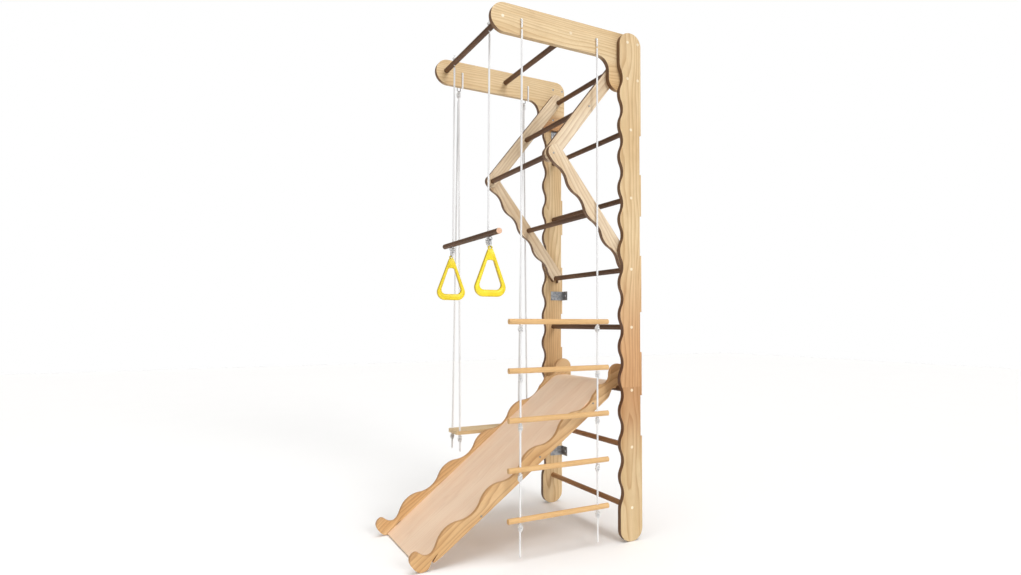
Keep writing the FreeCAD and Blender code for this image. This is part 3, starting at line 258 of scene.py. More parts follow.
# Ring of points at every step of the line; the lobes turn with the distance run.
# Its map counts strands round the rope and radii along it.
def strandTube(line, radius, values):
    sides = values["sides"]
    spots, at, length = evenSteps(line, values["step"])
    first, second = carriedFrame(spots)
    around = np.arange(sides) / sides * 2 * math.pi
    turned = around[None, :] + at[:, None] / values["twistLength"] * 2 * math.pi
    reach = radius * lobeRadius(turned, values["strands"], values["groove"])
    # The cut ends draw in over the last two steps.
    draw = np.ones(len(at))
    draw[[0, -1]], draw[[1, -2]] = endDraw
    reach = reach * draw[:, None]
    rings = (spots[:, None, :] + reach[..., None] * (np.cos(around)[None, :, None] * first[:, None, :]
                                                     + np.sin(around)[None, :, None] * second[:, None, :]))
    vertices = np.concatenate([rings.reshape(-1, 3), spots[[0, -1]]])
    strandCount, radii = np.broadcast_arrays(turned / (2 * math.pi) * values["strands"], at[:, None] / radius)
    uv = np.concatenate([np.stack([strandCount, radii], -1).reshape(-1, 2), [[0, 0], [0, length / radius]]])
    quads = gridFaces(len(at), sides).tolist()
    last = (len(at) - 1) * sides
    low, high = len(at) * sides, len(at) * sides + 1
    j = np.arange(sides)
    after = (j + 1) % sides
    caps = np.column_stack([np.full(sides, low), after, j]).tolist()
    caps += np.column_stack([np.full(sides, high), last + j, last + after]).tolist()
    return vertices, quads + caps, uv, length


# A laid rope along its route; its measured length is printed.
def makeRope(name, points, body, node):
    line = ropeLine(name, points)
    vertices, faces, uv, length = strandTube(line, ropeValues["diameter"] / 2, ropeValues)
    rope = meshPiece(name, vertices, faces, uv)
    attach(rope, body)
    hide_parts(node)
    print("rope", name, round(float(length), 3), "m")
    return rope


# Knots: the rope's own strand wound round the standing rope, thicker in the middle.
knotValues = {
    # Half length along the rope, radius of the winding, radius of the wound strand and turns.
    "knot": {"half": 0.0155, "winding": 0.0078, "strand": 0.0036, "turns": 3.0},
    "hitch": {"half": 0.00558, "winding": 0.006396, "strand": 0.00288, "turns": 1.4},
    "windSteps": 160,
    "crossSteps": 60,
    "crossSweep": 1.9,       # radians that the crossing turn goes round
    "crossLead": 1.1,        # radians from the winding's start to the crossing turn
    "lean": 2.4,             # radians from one knot of a rope to the next
    "strands": 3,
    "groove": 0.2,
    "twistLength": 0.020,
    "step": 0.0016,
    "sides": 14,
}


# A line wound round a rope: from the knot's centre, so far along and so far out at each angle.
def windLine(centre, along, rise, swell, angle):
    along = np.array(along, float) / np.linalg.norm(along)
    side = np.cross(along, [0, 1, 0] if abs(along[1]) < 0.9 else [1, 0, 0])
    side /= np.linalg.norm(side)
    other = np.cross(along, side)
    return (np.array(centre) + rise[:, None] * along + (swell * np.cos(angle))[:, None] * side
            + (swell * np.sin(angle))[:, None] * other)


# A helix round the rope that swells at the middle, with its ends tucked in to the rope.
def knotLine(centre, along, kind, lean):
    t = np.linspace(0, 1, knotValues["windSteps"])
    swell = kind["winding"] * (0.45 + 0.55 * np.sin(math.pi * t) ** 0.45)
    angle = 2 * math.pi * kind["turns"] * t + lean
    return windLine(centre, along, (t - 0.5) * 2 * kind["half"], swell, angle)


# The loose turn that crosses the winding from one end to the other on one side.
def crossLine(centre, along, kind, lean):
    t = np.linspace(0, 1, knotValues["crossSteps"])
    swell = kind["winding"] * (0.55 + 0.70 * np.sin(math.pi * t))
    angle = lean + knotValues["crossSweep"] * (t - 0.5)
    return windLine(centre, along, (t - 0.5) * 2 * kind["half"], swell, angle)


# The knots of one rope and node in one piece; each tie is a centre, a direction and a kind.
def makeKnots(name, node, body, ties):
    vertices, faces, uv, total = [], [], [], 0
    for number, (centre, along, kindName) in enumerate(ties):
        kind = knotValues[kindName]
        lean = knotValues["lean"] * number
        for line in (knotLine(centre, along, kind, lean),
                     crossLine(centre, along, kind, lean + knotValues["crossLead"])):
            points, quads, marks = strandTube(line, kind["strand"], knotValues)[:3]
            vertices.append(points)
            uv.append(marks)
            faces += [[total + k for k in face] for face in quads]
            total += len(points)
    knot = meshPiece(name, np.concatenate(vertices), faces, np.concatenate(uv))
    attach(knot, body)
    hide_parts(node)
    print("knots", name, len(ties))
    return knot


upright, level = (0, 0, 1), (1, 0, 0)
# What each rope is tied with: the rope, the knots' node and body, then each one's centre, direction
# and kind.
knotPlan = []
for word, x in trapezeLines.items():
    knotPlan += [
        (word + "TrapezeRope", "trapeze_knots", "trapeze", [((x, frontRungY, 1.375), upright, "knot")]),
        (word + "TrapezeHitch", "top_knots", "frame", [((x, frontRungY, 2.362), upright, "hitch")])]
for word, y in holeLines.items():
    stepTies = [((ladderX, y, z - 0.032), upright, "knot") for z in ladderSteps]
    innerTie = [((-0.34578, y, 0.4115), (0.0318, 0, -1), "knot")]
    outerTie = [((-0.46002, y, 0.4115), (-0.0265, 0, -1), "knot")]
    knotPlan += [
        (word + "SwingInnerLeg", "swing_top_knots", "plank_swing", [((-0.403, y, 2.2395), upright, "knot")]),
        (word + "SwingInnerLeg", "swing_seat_knots", "plank_swing", innerTie),
        (word + "SwingOuterLeg", "swing_seat_knots", "plank_swing", outerTie),
        (word + "SwingTail", "top_knots", "frame", [((-0.395, y, holeZ), level, "knot")]),
        (word + "LadderHitch", "top_knots", "frame", [((0.330, y, holeZ), level, "knot")]),
        (word + "LadderRope", "ladder_knots", "rope_ladder", stepTies)]
knots, knotsOf = [], {}
for number, (ropeName, knotNode, knotBody, ties) in enumerate(knotPlan):
    knots.append(makeKnots(ropeName + "Knot" + str(number), knotNode, knotBody, ties))
    knotsOf.setdefault(ropeName, []).append(knots[-1])


ropes = []

for word, x in trapezeLines.items():
    # Hanging ropes of the trapeze, each knotted under the bar, and the stubs tied over the front rung.
    ropes.append(makeRope(word + "TrapezeRope", plainRoute((x, frontRungY, 2.3165), (x, frontRungY, 1.343)),
                          "trapeze", word + "_trapeze_rope"))
    ropes.append(makeRope(word + "TrapezeHitch", plainRoute((x, frontRungY, 2.3255), (x, frontRungY, 2.3805)),
                          "frame", "fixed_rope_ends"))

for word, y in holeLines.items():
    # The swing's two legs part below the top knot, pass the seat and end in short tails.
    innerLeg = [(-0.403, y, 2.2590), (-0.403, y, 2.235), (-0.4025, y, 2.2115), (-0.4014, y, 2.16),
                (-0.3765, y, 1.378), (-0.3449, y, 0.384), (-0.34366, y, 0.345)]
    outerLeg = [(-0.4125, y, 2.2112), (-0.4147, y, 2.13), (-0.4345, y, 1.378), (-0.4607, y, 0.384),
                (-0.46178, y, 0.345)]
    ropes.append(makeRope(word + "SwingInnerLeg", innerLeg, "plank_swing", "swing_ropes"))
    ropes.append(makeRope(word + "SwingOuterLeg", outerLeg, "plank_swing", "swing_ropes"))
    # The tail of the swing's hanger comes through the far arm and drops down its inner face.
    tail = [(-0.421, y, holeZ), (-0.400, y, holeZ), (-0.375, y, holeZ), (-0.352, y, holeZ),
            (-0.345, y, holeZ), (-0.345, y, 2.335), (-0.345, y, 2.300), (-0.345, y, 2.2558)]
    ropes.append(makeRope(word + "SwingTail", tail, "frame", "fixed_rope_ends"))
    # The rope ladder's hitch runs out of the near arm and turns down.
    hitch = [(0.296, y, holeZ), (0.322, y, holeZ), (0.350, y, holeZ), (0.372, y, holeZ),
             (ladderX, y, holeZ), (ladderX, y, 2.331), (ladderX, y, 2.318), (ladderX, y, 2.304)]
    ropes.append(makeRope(word + "LadderHitch", hitch, "frame", "fixed_rope_ends"))
    ropes.append(makeRope(word + "LadderRope", plainRoute((ladderX, y, 2.296), (ladderX, y, 0.022)),
                          "rope_ladder", word + "_ladder_rope"))
print("ropes and knots made")


# Hand rings: a rounded triangle in the YZ plane with a thick rounded rail, a neck at the top and an
# eye. Each loop's two corners, mirrored, are (half width, height from the top, corner radius) in metres.
ringValues = {
    "outer": [(0.0105, -0.0125, 0.0100), (0.0905, -0.226, 0.040)],
    "inner": [(0.0150, -0.0640, 0.0135), (0.0600, -0.195, 0.022)],
    "thick": 0.022,
    "neckThick": 0.011,
    "neck": (-0.058, -0.022),    # the rail thins to the neck between these depths
    "soft": 0.62,                # 1 is an oval section, 0 a square one
    "eyeDrop": 0.009,
    "eye": (0.0074, 0.0027, 0.0055),   # eye's middle radius, rail half width and half thickness
    "places": {"near": 0.252, "far": -0.252},
    "sectionSides": 28,
    "eyeSteps": 48,
    "arcSteps": 18,
    "runSteps": 14,
}


# Points along a closed outline: an arc at each corner, an even straight run between two arcs.
def roundedLoop(half, arcSteps, runSteps):
    corners = [(x, z, r) for x, z, r in half] + [(-x, z, r) for x, z, r in reversed(half)]
    arcs = []
    for number, (x, z, radius) in enumerate(corners):
        here = np.array((x, z))
        before = np.array(corners[number - 1][:2]) - here
        after = np.array(corners[(number + 1) % len(corners)][:2]) - here
        before, after = before / np.linalg.norm(before), after / np.linalg.norm(after)
        bisector = (before + after) / np.linalg.norm(before + after)
        halfAngle = math.acos(float(np.clip(before @ after, -1, 1))) / 2
        centre = here + bisector * radius / math.sin(halfAngle)
        start = here + before * radius / math.tan(halfAngle) - centre
        end = here + after * radius / math.tan(halfAngle) - centre
        first, last = math.atan2(start[1], start[0]), math.atan2(end[1], end[0])
        sweep = (last - first + math.pi) % (2 * math.pi) - math.pi
        angles = first + sweep * np.linspace(0, 1, arcSteps)
        arcs.append(centre + radius * np.column_stack([np.cos(angles), np.sin(angles)]))
    parts = []
    for number, arc in enumerate(arcs):
        ahead = arcs[(number + 1) % len(arcs)][0]
        share = np.linspace(0, 1, runSteps + 1)[1:-1, None]
        parts += [arc, arc[-1] * (1 - share) + ahead * share]
    return np.concatenate(parts)


# Rounded section: sine and cosine drawn towards a square as the power falls.
def softSection(steps, power):
    angle = np.arange(steps) / steps * 2 * math.pi
    across, deep = np.cos(angle), np.sin(angle)
    return np.sign(across) * np.abs(across) ** power, np.sign(deep) * np.abs(deep) ** power


# The rail's section is carried along the line midway between the two loops, and the eye's round a
# circle; the rail's thickness eases from full to the neck's.
def makeHandRing(word, values):
    middleX, sides, eyeSteps = values["places"][word], values["sectionSides"], values["eyeSteps"]
    low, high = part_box(word + "_hand_ring")
    top, middleY = high[2], (low[1] + high[1]) / 2
    outer, inner = (roundedLoop(values[loop], values["arcSteps"], values["runSteps"])
                    for loop in ("outer", "inner"))
    centre, reach = (outer + inner) / 2, (outer - inner) / 2
    neckLow, neckHigh = values["neck"]
    toNeck = np.clip((centre[:, 1] - neckLow) / (neckHigh - neckLow), 0, 1)
    toNeck = toNeck * toNeck * (3 - 2 * toNeck)
    deep = values["thick"] / 2 * (1 - toNeck) + values["neckThick"] / 2 * toNeck
    across, out = softSection(sides, values["soft"])
    flat = centre[:, None, :] + reach[:, None, :] * across[None, :, None]
    rail = np.stack([middleX + deep[:, None] * out[None, :], middleY + flat[..., 0], top + flat[..., 1]], -1)
    middle, wide, thick = values["eye"]
    around = np.arange(eyeSteps) / eyeSteps * 2 * math.pi
    radius = middle + wide * across[None, :]
    eye = np.stack([
        np.broadcast_to(middleX + thick * out[None, :], (eyeSteps, sides)),
        middleY + radius * np.cos(around)[:, None],
        top - values["eyeDrop"] + radius * np.sin(around)[:, None]], -1)
    vertices = np.concatenate([rail.reshape(-1, 3), eye.reshape(-1, 3)])
    # The two grids turn opposite ways, so the eye's faces are listed backwards.
    railFaces = gridFaces(len(centre), sides, closed=True)
    eyeFaces = gridFaces(eyeSteps, sides, closed=True, shift=len(centre) * sides)[:, ::-1]
    ring = meshPiece(word + "HandRing", vertices, np.concatenate([railFaces, eyeFaces]).tolist())
    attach(ring, word + "_ring")
    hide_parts(word + "_hand_ring")
    return ring


handRings = [makeHandRing(word, ringValues) for word in ("near", "far")]
print("hand rings made")


# Shader building blocks.
def newGroup(name, inputs, outputs):
    group = bpy.data.node_groups.new(name, "ShaderNodeTree")
    for label, kind, value in inputs:
        socket = group.interface.new_socket(name=label, in_out="INPUT", socket_type=kind)
        if value is not None:
            socket.default_value = value
    for label, kind in outputs:
        group.interface.new_socket(name=label, in_out="OUTPUT", socket_type=kind)
    return group, group.nodes.new("NodeGroupInput"), group.nodes.new("NodeGroupOutput")


def mathNode(tree, operation, first, second=None, third=None, clamp=False):
    made = tree.nodes.new("ShaderNodeMath")
    made.operation = operation
    made.use_clamp = clamp
    for place, value in enumerate((first, second, third)):
        if value is None:
            continue
        if isinstance(value, (int, float)):
            made.inputs[place].default_value = value
        else:
            tree.links.new(value, made.inputs[place])
    return made.outputs[0]


def mixColours(tree, share, first, second, blend="MIX"):
    made = tree.nodes.new("ShaderNodeMix")
    made.data_type = "RGBA"
    made.blend_type = blend
    for socket, value in ((made.inputs[0], share), (made.inputs[6], first), (made.inputs[7], second)):
        if isinstance(value, (int, float, tuple)):
            socket.default_value = value
        else:
            tree.links.new(value, socket)
    return made.outputs[2]


def stretched(tree, vector, scale):
    made = tree.nodes.new("ShaderNodeVectorMath")
    made.operation = "MULTIPLY"
    tree.links.new(vector, made.inputs[0])
    made.inputs[1].default_value = scale
    return made.outputs[0]


def noiseAt(tree, vector, scale, detail=2.0, rough=0.5, distortion=0.0):
    made = tree.nodes.new("ShaderNodeTexNoise")
    tree.links.new(vector, made.inputs["Vector"])
    made.inputs["Scale"].default_value = scale
    made.inputs["Detail"].default_value = detail
    made.inputs["Roughness"].default_value = rough
    made.inputs["Distortion"].default_value = distortion
    return made.outputs["Fac"]


def rangeOf(tree, value, low, high, toLow=0.0, toHigh=1.0):
    made = tree.nodes.new("ShaderNodeMapRange")
    made.interpolation_type = "SMOOTHSTEP"
    tree.links.new(value, made.inputs["Value"])
    for label, number in (("From Min", low), ("From Max", high), ("To Min", toLow), ("To Max", toHigh)):
        made.inputs[label].default_value = number
    return made.outputs["Result"]


# One number at every point, as a grey colour.
def greyOf(tree, value):
    made = tree.nodes.new("ShaderNodeCombineXYZ")
    for k in range(3):
        tree.links.new(value, made.inputs[k])
    return made.outputs[0]


# The surface's normal in two numbers: how far it looks sideways along X, and its Y share.
def facingOf(tree, coords):
    parts = tree.nodes.new("ShaderNodeSeparateXYZ")
    tree.links.new(coords.outputs["Normal"], parts.inputs[0])
    return mathNode(tree, "ABSOLUTE", parts.outputs[0]), parts.outputs[1]


# One placed copy of a shader group, read at the given vector.
def placeGroup(tree, group, vector, **settings):
    made = tree.nodes.new("ShaderNodeGroup")
    made.node_tree = group
    for label, value in settings.items():
        made.inputs[label].default_value = value
    tree.links.new(vector, made.inputs["Vector"])
    return made.outputs


# Sizes of the patterns per metre, across the grain twice and then along it.
grainValues = {
    "slow": (5.0, 5.0, 1.3),
    "wobble": (30.0, 30.0, 3.0),
    "fibre": (700.0, 700.0, 14.0),
    "pore": (1500.0, 1500.0, 90.0),
    "drift": (14.0, 14.0, 2.2),
    "pith": (0.16, 0.05),        # metres from the pith line to the piece's own grain line
    "slowShare": 6.0,            # of the waver, for the slow bends of the rings
    "lateRise": 2.6,             # power of each ring's darkening
    "lateDrop": 0.90,            # share of the ring where it starts to drop back
}


# Wood sawn along local Z: growth rings about a far pith line, fine fibres, pores and slow tint.
def makeGrainGroup(values):
    group, inside, outside = newGroup(
        "sawnGrain",
        [("Vector", "NodeSocketVector", None), ("Rings", "NodeSocketFloat", 120.0),
         ("Waver", "NodeSocketFloat", 0.012)],
        [("Ring", "NodeSocketFloat"), ("Fibre", "NodeSocketFloat"), ("Pore", "NodeSocketFloat"),
         ("Drift", "NodeSocketFloat")])
    start = inside.outputs["Vector"]
    slow = noiseAt(group, stretched(group, start, values["slow"]), 1.0)
    wobble = noiseAt(group, stretched(group, start, values["wobble"]), 1.0)
    parts = group.nodes.new("ShaderNodeSeparateXYZ")
    group.links.new(start, parts.inputs[0])
    # Distance from the pith line, made uneven by the slow noise.
    x2 = mathNode(group, "POWER", mathNode(group, "ADD", parts.outputs[0], values["pith"][0]), 2.0)
    y2 = mathNode(group, "POWER", mathNode(group, "ADD", parts.outputs[1], values["pith"][1]), 2.0)
    reach = mathNode(group, "SQRT", mathNode(group, "ADD", x2, y2))
    bend = mathNode(group, "MULTIPLY", mathNode(group, "SUBTRACT", slow, 0.5),
                    mathNode(group, "MULTIPLY", inside.outputs["Waver"], values["slowShare"]))
    small = mathNode(group, "MULTIPLY", mathNode(group, "SUBTRACT", wobble, 0.5), inside.outputs["Waver"])
    reach = mathNode(group, "ADD", mathNode(group, "ADD", reach, bend), small)
    phase = mathNode(group, "FRACT", mathNode(group, "MULTIPLY", reach, inside.outputs["Rings"]))
    # Each ring grows slowly darker and then drops back, as late wood does.
    late = mathNode(group, "POWER", phase, values["lateRise"])
    fall = rangeOf(group, phase, values["lateDrop"], 1.0, 1.0, 0.0)
    group.links.new(mathNode(group, "MULTIPLY", late, fall), outside.inputs["Ring"])
    fibre = noiseAt(group, stretched(group, start, values["fibre"]), 1.0, 3.0, 0.6)
    group.links.new(fibre, outside.inputs["Fibre"])
    pore = noiseAt(group, stretched(group, start, values["pore"]), 1.0, 1.0)
    group.links.new(rangeOf(group, pore, 0.64, 0.74), outside.inputs["Pore"])
    drift = noiseAt(group, stretched(group, start, values["drift"]), 1.0)
    group.links.new(rangeOf(group, drift, 0.3, 0.7), outside.inputs["Drift"])
    return group


handlingValues = {
    "smudge": 9.0,                      # patches per metre
    "smudgeFrom": (0.46, 0.72),         # noise where a smudge starts and is full
    "scratch": (60.0, 900.0, 60.0),     # per metre along each axis
    "scratchFrom": (0.66, 0.74),
}


# Where hands and feet have darkened the finish: broad soft smudges and fine scratches.
def makeHandlingGroup(values):
    group, inside, outside = newGroup(
        "handlingWear", [("Vector", "NodeSocketVector", None)],
        [("Smudge", "NodeSocketFloat"), ("Scratch", "NodeSocketFloat")])
    smudge = noiseAt(group, inside.outputs["Vector"], values["smudge"], 3.0, 0.55)
    group.links.new(rangeOf(group, smudge, *values["smudgeFrom"]), outside.inputs["Smudge"])
    scratch = noiseAt(group, stretched(group, inside.outputs["Vector"], values["scratch"]), 1.0)
    group.links.new(rangeOf(group, scratch, *values["scratchFrom"]), outside.inputs["Scratch"])
    return group


grainGroup = makeGrainGroup(grainValues)
handlingGroup = makeHandlingGroup(handlingValues)


def startMaterial(name):
    material = bpy.data.materials.new(name)
    material.use_nodes = True
    tree = material.node_tree
    tree.nodes.clear()
    out = tree.nodes.new("ShaderNodeOutputMaterial")
    shader = tree.nodes.new("ShaderNodeBsdfPrincipled")
    tree.links.new(shader.outputs[0], out.inputs["Surface"])
    coords = tree.nodes.new("ShaderNodeTexCoord")
    return material, tree, shader, coords


def bumpInto(tree, shader, height, strength, distance):
    bump = tree.nodes.new("ShaderNodeBump")
    bump.inputs["Strength"].default_value = strength
    bump.inputs["Distance"].default_value = distance
    tree.links.new(height, bump.inputs["Height"])
    tree.links.new(bump.outputs["Normal"], shader.inputs["Normal"])


def shade(colour, share=1.0):
    return tuple(c * share for c in colour) + (1.0,)


# A finish's colour written as ordinary 0-255 values, turned to light values.
def tone(red, green, blue):
    shares = (red / 255, green / 255, blue / 255)
    return tuple(((c + 0.055) / 1.055) ** 2.4 if c > 0.04 else c / 12.92 for c in shares)


# What a wood has unless it says otherwise: place and turn of its grain, rings per metre, how far they
# waver, and how much each pattern shows.
plainWood = {"centre": (0, 0, 0), "turn": (0, 0, 0), "rings": 110.0, "waver": 0.012,
             "ringDepth": 0.75, "fibreDepth": 0.5, "poreDepth": 0.22, "smudgeDepth": 0.10,
             "poreTone": 0.6, "smudgeTone": 0.8, "edgeTones": (0.55, 1.12),
             "endFacing": (0.85, 0.97), "edgeFacing": (0.45, 0.92), "frontFacing": (-0.75, 0.1),
             "rough": 0.44, "fibreRough": 0.16, "scratchShine": 0.05, "gloss": 0.35,
             "heights": {"Fibre": 0.6, "Ring": 0.5, "Pore": 0.5}, "bump": 0.35, "bumpDepth": 0.0006}


# Oiled wood: the grain runs along the mapped Z, the cut edges take the edge colour.
def makeWood(name, changes):
    values = dict(plainWood)
    values.update(changes)
    material, tree, shader, coords = startMaterial(name)
    mapping = tree.nodes.new("ShaderNodeMapping")
    mapping.vector_type = "TEXTURE"
    mapping.inputs["Location"].default_value = values["centre"]
    mapping.inputs["Rotation"].default_value = [math.radians(a) for a in values["turn"]]
    tree.links.new(coords.outputs["Object"], mapping.inputs["Vector"])
    grain = placeGroup(tree, grainGroup, mapping.outputs["Vector"],
                       Rings=values["rings"], Waver=values["waver"])
    wear = placeGroup(tree, handlingGroup, coords.outputs["Object"])
    colour = mixColours(tree, grain["Drift"], shade(values["pale"]), shade(values["warm"]))
    ring = mathNode(tree, "MULTIPLY", grain["Ring"], values["ringDepth"])
    colour = mixColours(tree, ring, colour, shade(values["late"]))
    fibre = mathNode(tree, "MULTIPLY_ADD", grain["Fibre"], values["fibreDepth"],
                     1 - 0.5 * values["fibreDepth"])
    colour = mixColours(tree, 1.0, colour, greyOf(tree, fibre), "MULTIPLY")
    poreShare = mathNode(tree, "MULTIPLY", grain["Pore"], values["poreDepth"])
    colour = mixColours(tree, poreShare, colour, shade(values["late"], values["poreTone"]))
    if "cutEnd" in values:
        # The sawn end of a rod that lies along X.
        end = rangeOf(tree, facingOf(tree, coords)[0], *values["endFacing"])
        colour = mixColours(tree, end, colour, shade(values["cutEnd"]))
    if "edge" in values:
        # The cut edges, tops and undersides: the less a face looks sideways, the more edge colour it takes,
        # and the most where it looks to the front. The edge colour is partly a darker cut edge and partly
        # painted shade, strongest on the front edges that face away from the light.
        sideways, ahead = facingOf(tree, coords)
        edge = rangeOf(tree, sideways, *values["edgeFacing"], values["edgeShare"], 0.0)
        front = rangeOf(tree, ahead, *values["frontFacing"], 1.0, values["edgeFront"])
        edge = mathNode(tree, "MULTIPLY", edge, front)
        edgeAndShadeColour = mixColours(tree, fibre, *(shade(values["edge"], share) for share in values["edgeTones"]))
        colour = mixColours(tree, edge, colour, edgeAndShadeColour)
    if "heightTint" in values:
        # Past one height the piece turns darker and warmer, in full by a second height.
        place = tree.nodes.new("ShaderNodeSeparateXYZ")
        tree.links.new(coords.outputs["Object"], place.inputs[0])
        height = place.outputs[2]
        share = rangeOf(tree, height, values["heightTintFrom"], values["heightTintTo"], 0.0, values["heightTintShare"])
        colour = mixColours(tree, share, colour, shade(values["heightTint"]), "MULTIPLY")
    smudge = mathNode(tree, "MULTIPLY", wear["Smudge"], values["smudgeDepth"])
    colour = mixColours(tree, smudge, colour, shade(values["late"], values["smudgeTone"]))
    tree.links.new(colour, shader.inputs["Base Color"])
    rough = mathNode(tree, "MULTIPLY_ADD", grain["Fibre"], values["fibreRough"], values["rough"])
    shine = mathNode(tree, "MULTIPLY", wear["Scratch"], values["scratchShine"])
    rough = mathNode(tree, "SUBTRACT", rough, shine)
    tree.links.new(rough, shader.inputs["Roughness"])
    shader.inputs["Specular IOR Level"].default_value = values["gloss"]
    fibreHeight, ringHeight, poreHeight = (
        mathNode(tree, "MULTIPLY", grain[label], share) for label, share in values["heights"].items())
    height = mathNode(tree, "ADD", fibreHeight, ringHeight)
    height = mathNode(tree, "SUBTRACT", height, poreHeight)
    bumpInto(tree, shader, height, values["bump"], values["bumpDepth"])
    return material


def finish(material, *names):
    for name in names:
        mesh = nodes[name].data
        if not mesh.materials:
            mesh.materials.append(material)
        for place in range(len(mesh.materials)):
            mesh.materials[place] = material


# Board woods, each with its own grain direction and place.
# The edge colour is partly a darker cut edge and partly painted shade; edgeFront is the share kept by faces
# that do not look to the front.
pine = {"pale": tone(228, 203, 161), "warm": tone(214, 184, 138), "late": tone(176, 132, 84),
        "edge": tone(98, 68, 44), "edgeShare": 0.95, "edgeFront": 0.30}


def boardWood(name, **changes):
    values = dict(pine)
    values.update(changes)
    return makeWood(name, values)


# Each board's grain place, and where its warmer end starts and is full, as heights.
boards = {
    "near_upright_upper": dict(centre=(0.40, -0.09, 0.3), rings=120, waver=0.010,
                               heightTint=(0.80, 0.58, 0.46), heightTintFrom=1.45, heightTintTo=0.85, heightTintShare=0.9),
    "far_upright_upper": dict(centre=(-0.40, -0.10, 1.7), rings=120, waver=0.010,
                              heightTint=(0.86, 0.70, 0.56), heightTintFrom=1.35, heightTintTo=0.85, heightTintShare=0.8),
    "near_upright_lower": dict(pale=tone(216, 191, 150), warm=tone(203, 174, 129),
                               centre=(0.40, -0.02, 5.1), rings=115, waver=0.011,
                               heightTint=(0.77, 0.54, 0.41), heightTintFrom=0.32, heightTintTo=0.66, heightTintShare=0.9),
    "far_upright_lower": dict(centre=(-0.40, -0.03, 7.9), rings=115, waver=0.011,
                              heightTint=(0.93, 0.80, 0.62), heightTintFrom=0.35, heightTintTo=0.70, heightTintShare=0.85),
    "near_arm": dict(centre=(0.37, 0.3, 2.30), turn=(90, 0, 0), rings=170, waver=0.007, ringDepth=0.6,
                     heightTint=(0.93, 0.80, 0.64), heightTintFrom=2.27, heightTintTo=2.13, heightTintShare=0.8),
    "far_arm": dict(centre=(-0.37, 0.9, 2.28), turn=(90, 0, 0), rings=170, waver=0.007, ringDepth=0.6,
                    heightTint=(0.72, 0.48, 0.34), heightTintFrom=2.25, heightTintTo=2.13, heightTintShare=0.9),
}
for boardName, values in boards.items():
    finish(boardWood(boardName + "Wood", **values), boardName)

creamPine = {"pale": tone(234, 216, 188), "warm": tone(216, 190, 154), "late": tone(186, 150, 114),
             "fibreDepth": 0.6, "rings": 58, "waver": 0.014}
# The grain follows each zigzag board, from the wall's side at the top and foot out to the apex.
zigzagTop, zigzagApex, zigzagFoot = (0.0576, 2.272), (0.460, 1.775), (0.09, 1.20)    # out and up
upperLean = -math.degrees(math.atan2(zigzagApex[0] - zigzagTop[0], zigzagTop[1] - zigzagApex[1]))
lowerLean = math.degrees(math.atan2(zigzagApex[0] - zigzagFoot[0], zigzagApex[1] - zigzagFoot[1]))
for side, x in (("near", 0.33), ("far", -0.33)):
    finish(boardWood(side + "ZigzagUpperWood", centre=(x, -0.30, 0.4 + x), turn=(upperLean, 0, 0),
                     **creamPine), side + "_zigzag_upper_board")
    finish(boardWood(side + "ZigzagLowerWood", centre=(x, -0.25, 2.4 + x), turn=(lowerLean, 0, 0),
                     **creamPine), side + "_zigzag_lower_board")

# The slide boards' edge colour is also partly painted shade.
slideTan = {"pale": tone(222, 188, 142), "warm": tone(206, 164, 112), "late": tone(164, 114, 66),
            "edge": tone(186, 140, 92), "edgeFront": 0.55, "rings": 85, "waver": 0.016}
slideGrain = {"boards": (126.6, 0, 0), "bed": (128.6, 0, 0)}    # degrees: the grain runs down the slide
for side, x in (("near", 0.28), ("far", -0.28)):
    finish(boardWood(side + "SlideBoardWood", centre=(x, -0.5, 0.3 + x), turn=slideGrain["boards"],
                     **slideTan), side + "_slide_board")

# Rungs: oiled rods. The wall and arm rungs and the trapeze bar take a dark brown that is partly painted
# shade, since they are seen from below; the two lowest wall rungs take a lighter copy, painted light on their
# tops. The ladder's rungs are lighter.
rungBrownInShade = {"pale": tone(108, 75, 48), "warm": tone(88, 59, 36), "late": tone(52, 32, 18), "rings": 240.0,
             "waver": 0.005, "turn": (0, 90, 0), "fibreDepth": 0.55, "gloss": 0.28}
darkRungs = ["top_rung", "middle_overhead_rung", "front_overhead_rung", "zigzag_apex_rung",
             "zigzag_upper_rung", "zigzag_lower_rung"] + ["wall_rung_%d" % n for n in range(1, 8)]


# Rod wood: the grain starts near the rod's own middle, shifted along it by its name's length, and the
# rings' centre lies beside the rod.
rodShift = {"perLetter": 0.013, "out": 0.02}


def rodWood(name, node, base):
    low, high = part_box(node)
    middle = (Vector(low) + Vector(high)) / 2
    centre = (middle.x + rodShift["perLetter"] * len(node), middle.y + rodShift["out"], middle.z)
    return makeWood(name, dict(base, centre=centre))


# Painted light: the two lowest wall rungs are seen from above, so they take a lighter copy of the rung brown.
rungBrownInLight = dict(rungBrownInShade, pale=tone(176, 134, 92), warm=tone(150, 108, 70), late=tone(96, 64, 38))
for rungName in darkRungs:
    base = rungBrownInLight if rungName in ("wall_rung_6", "wall_rung_7") else rungBrownInShade
    finish(rodWood(rungName + "Wood", rungName, base), rungName)
finish(rodWood("trapezeBarWood", "trapeze_bar", dict(rungBrownInShade, cutEnd=tone(226, 184, 154))), "trapeze_bar")
ladderTan = dict(rungBrownInShade, pale=tone(238, 200, 146), warm=tone(222, 180, 124), late=tone(160, 112, 66),
                 turn=(90, 0, 0))
for number in range(1, 6):
    rungName = "ladder_rung_%d" % number
    finish(rodWood(rungName + "Wood", rungName, ladderTan), rungName)

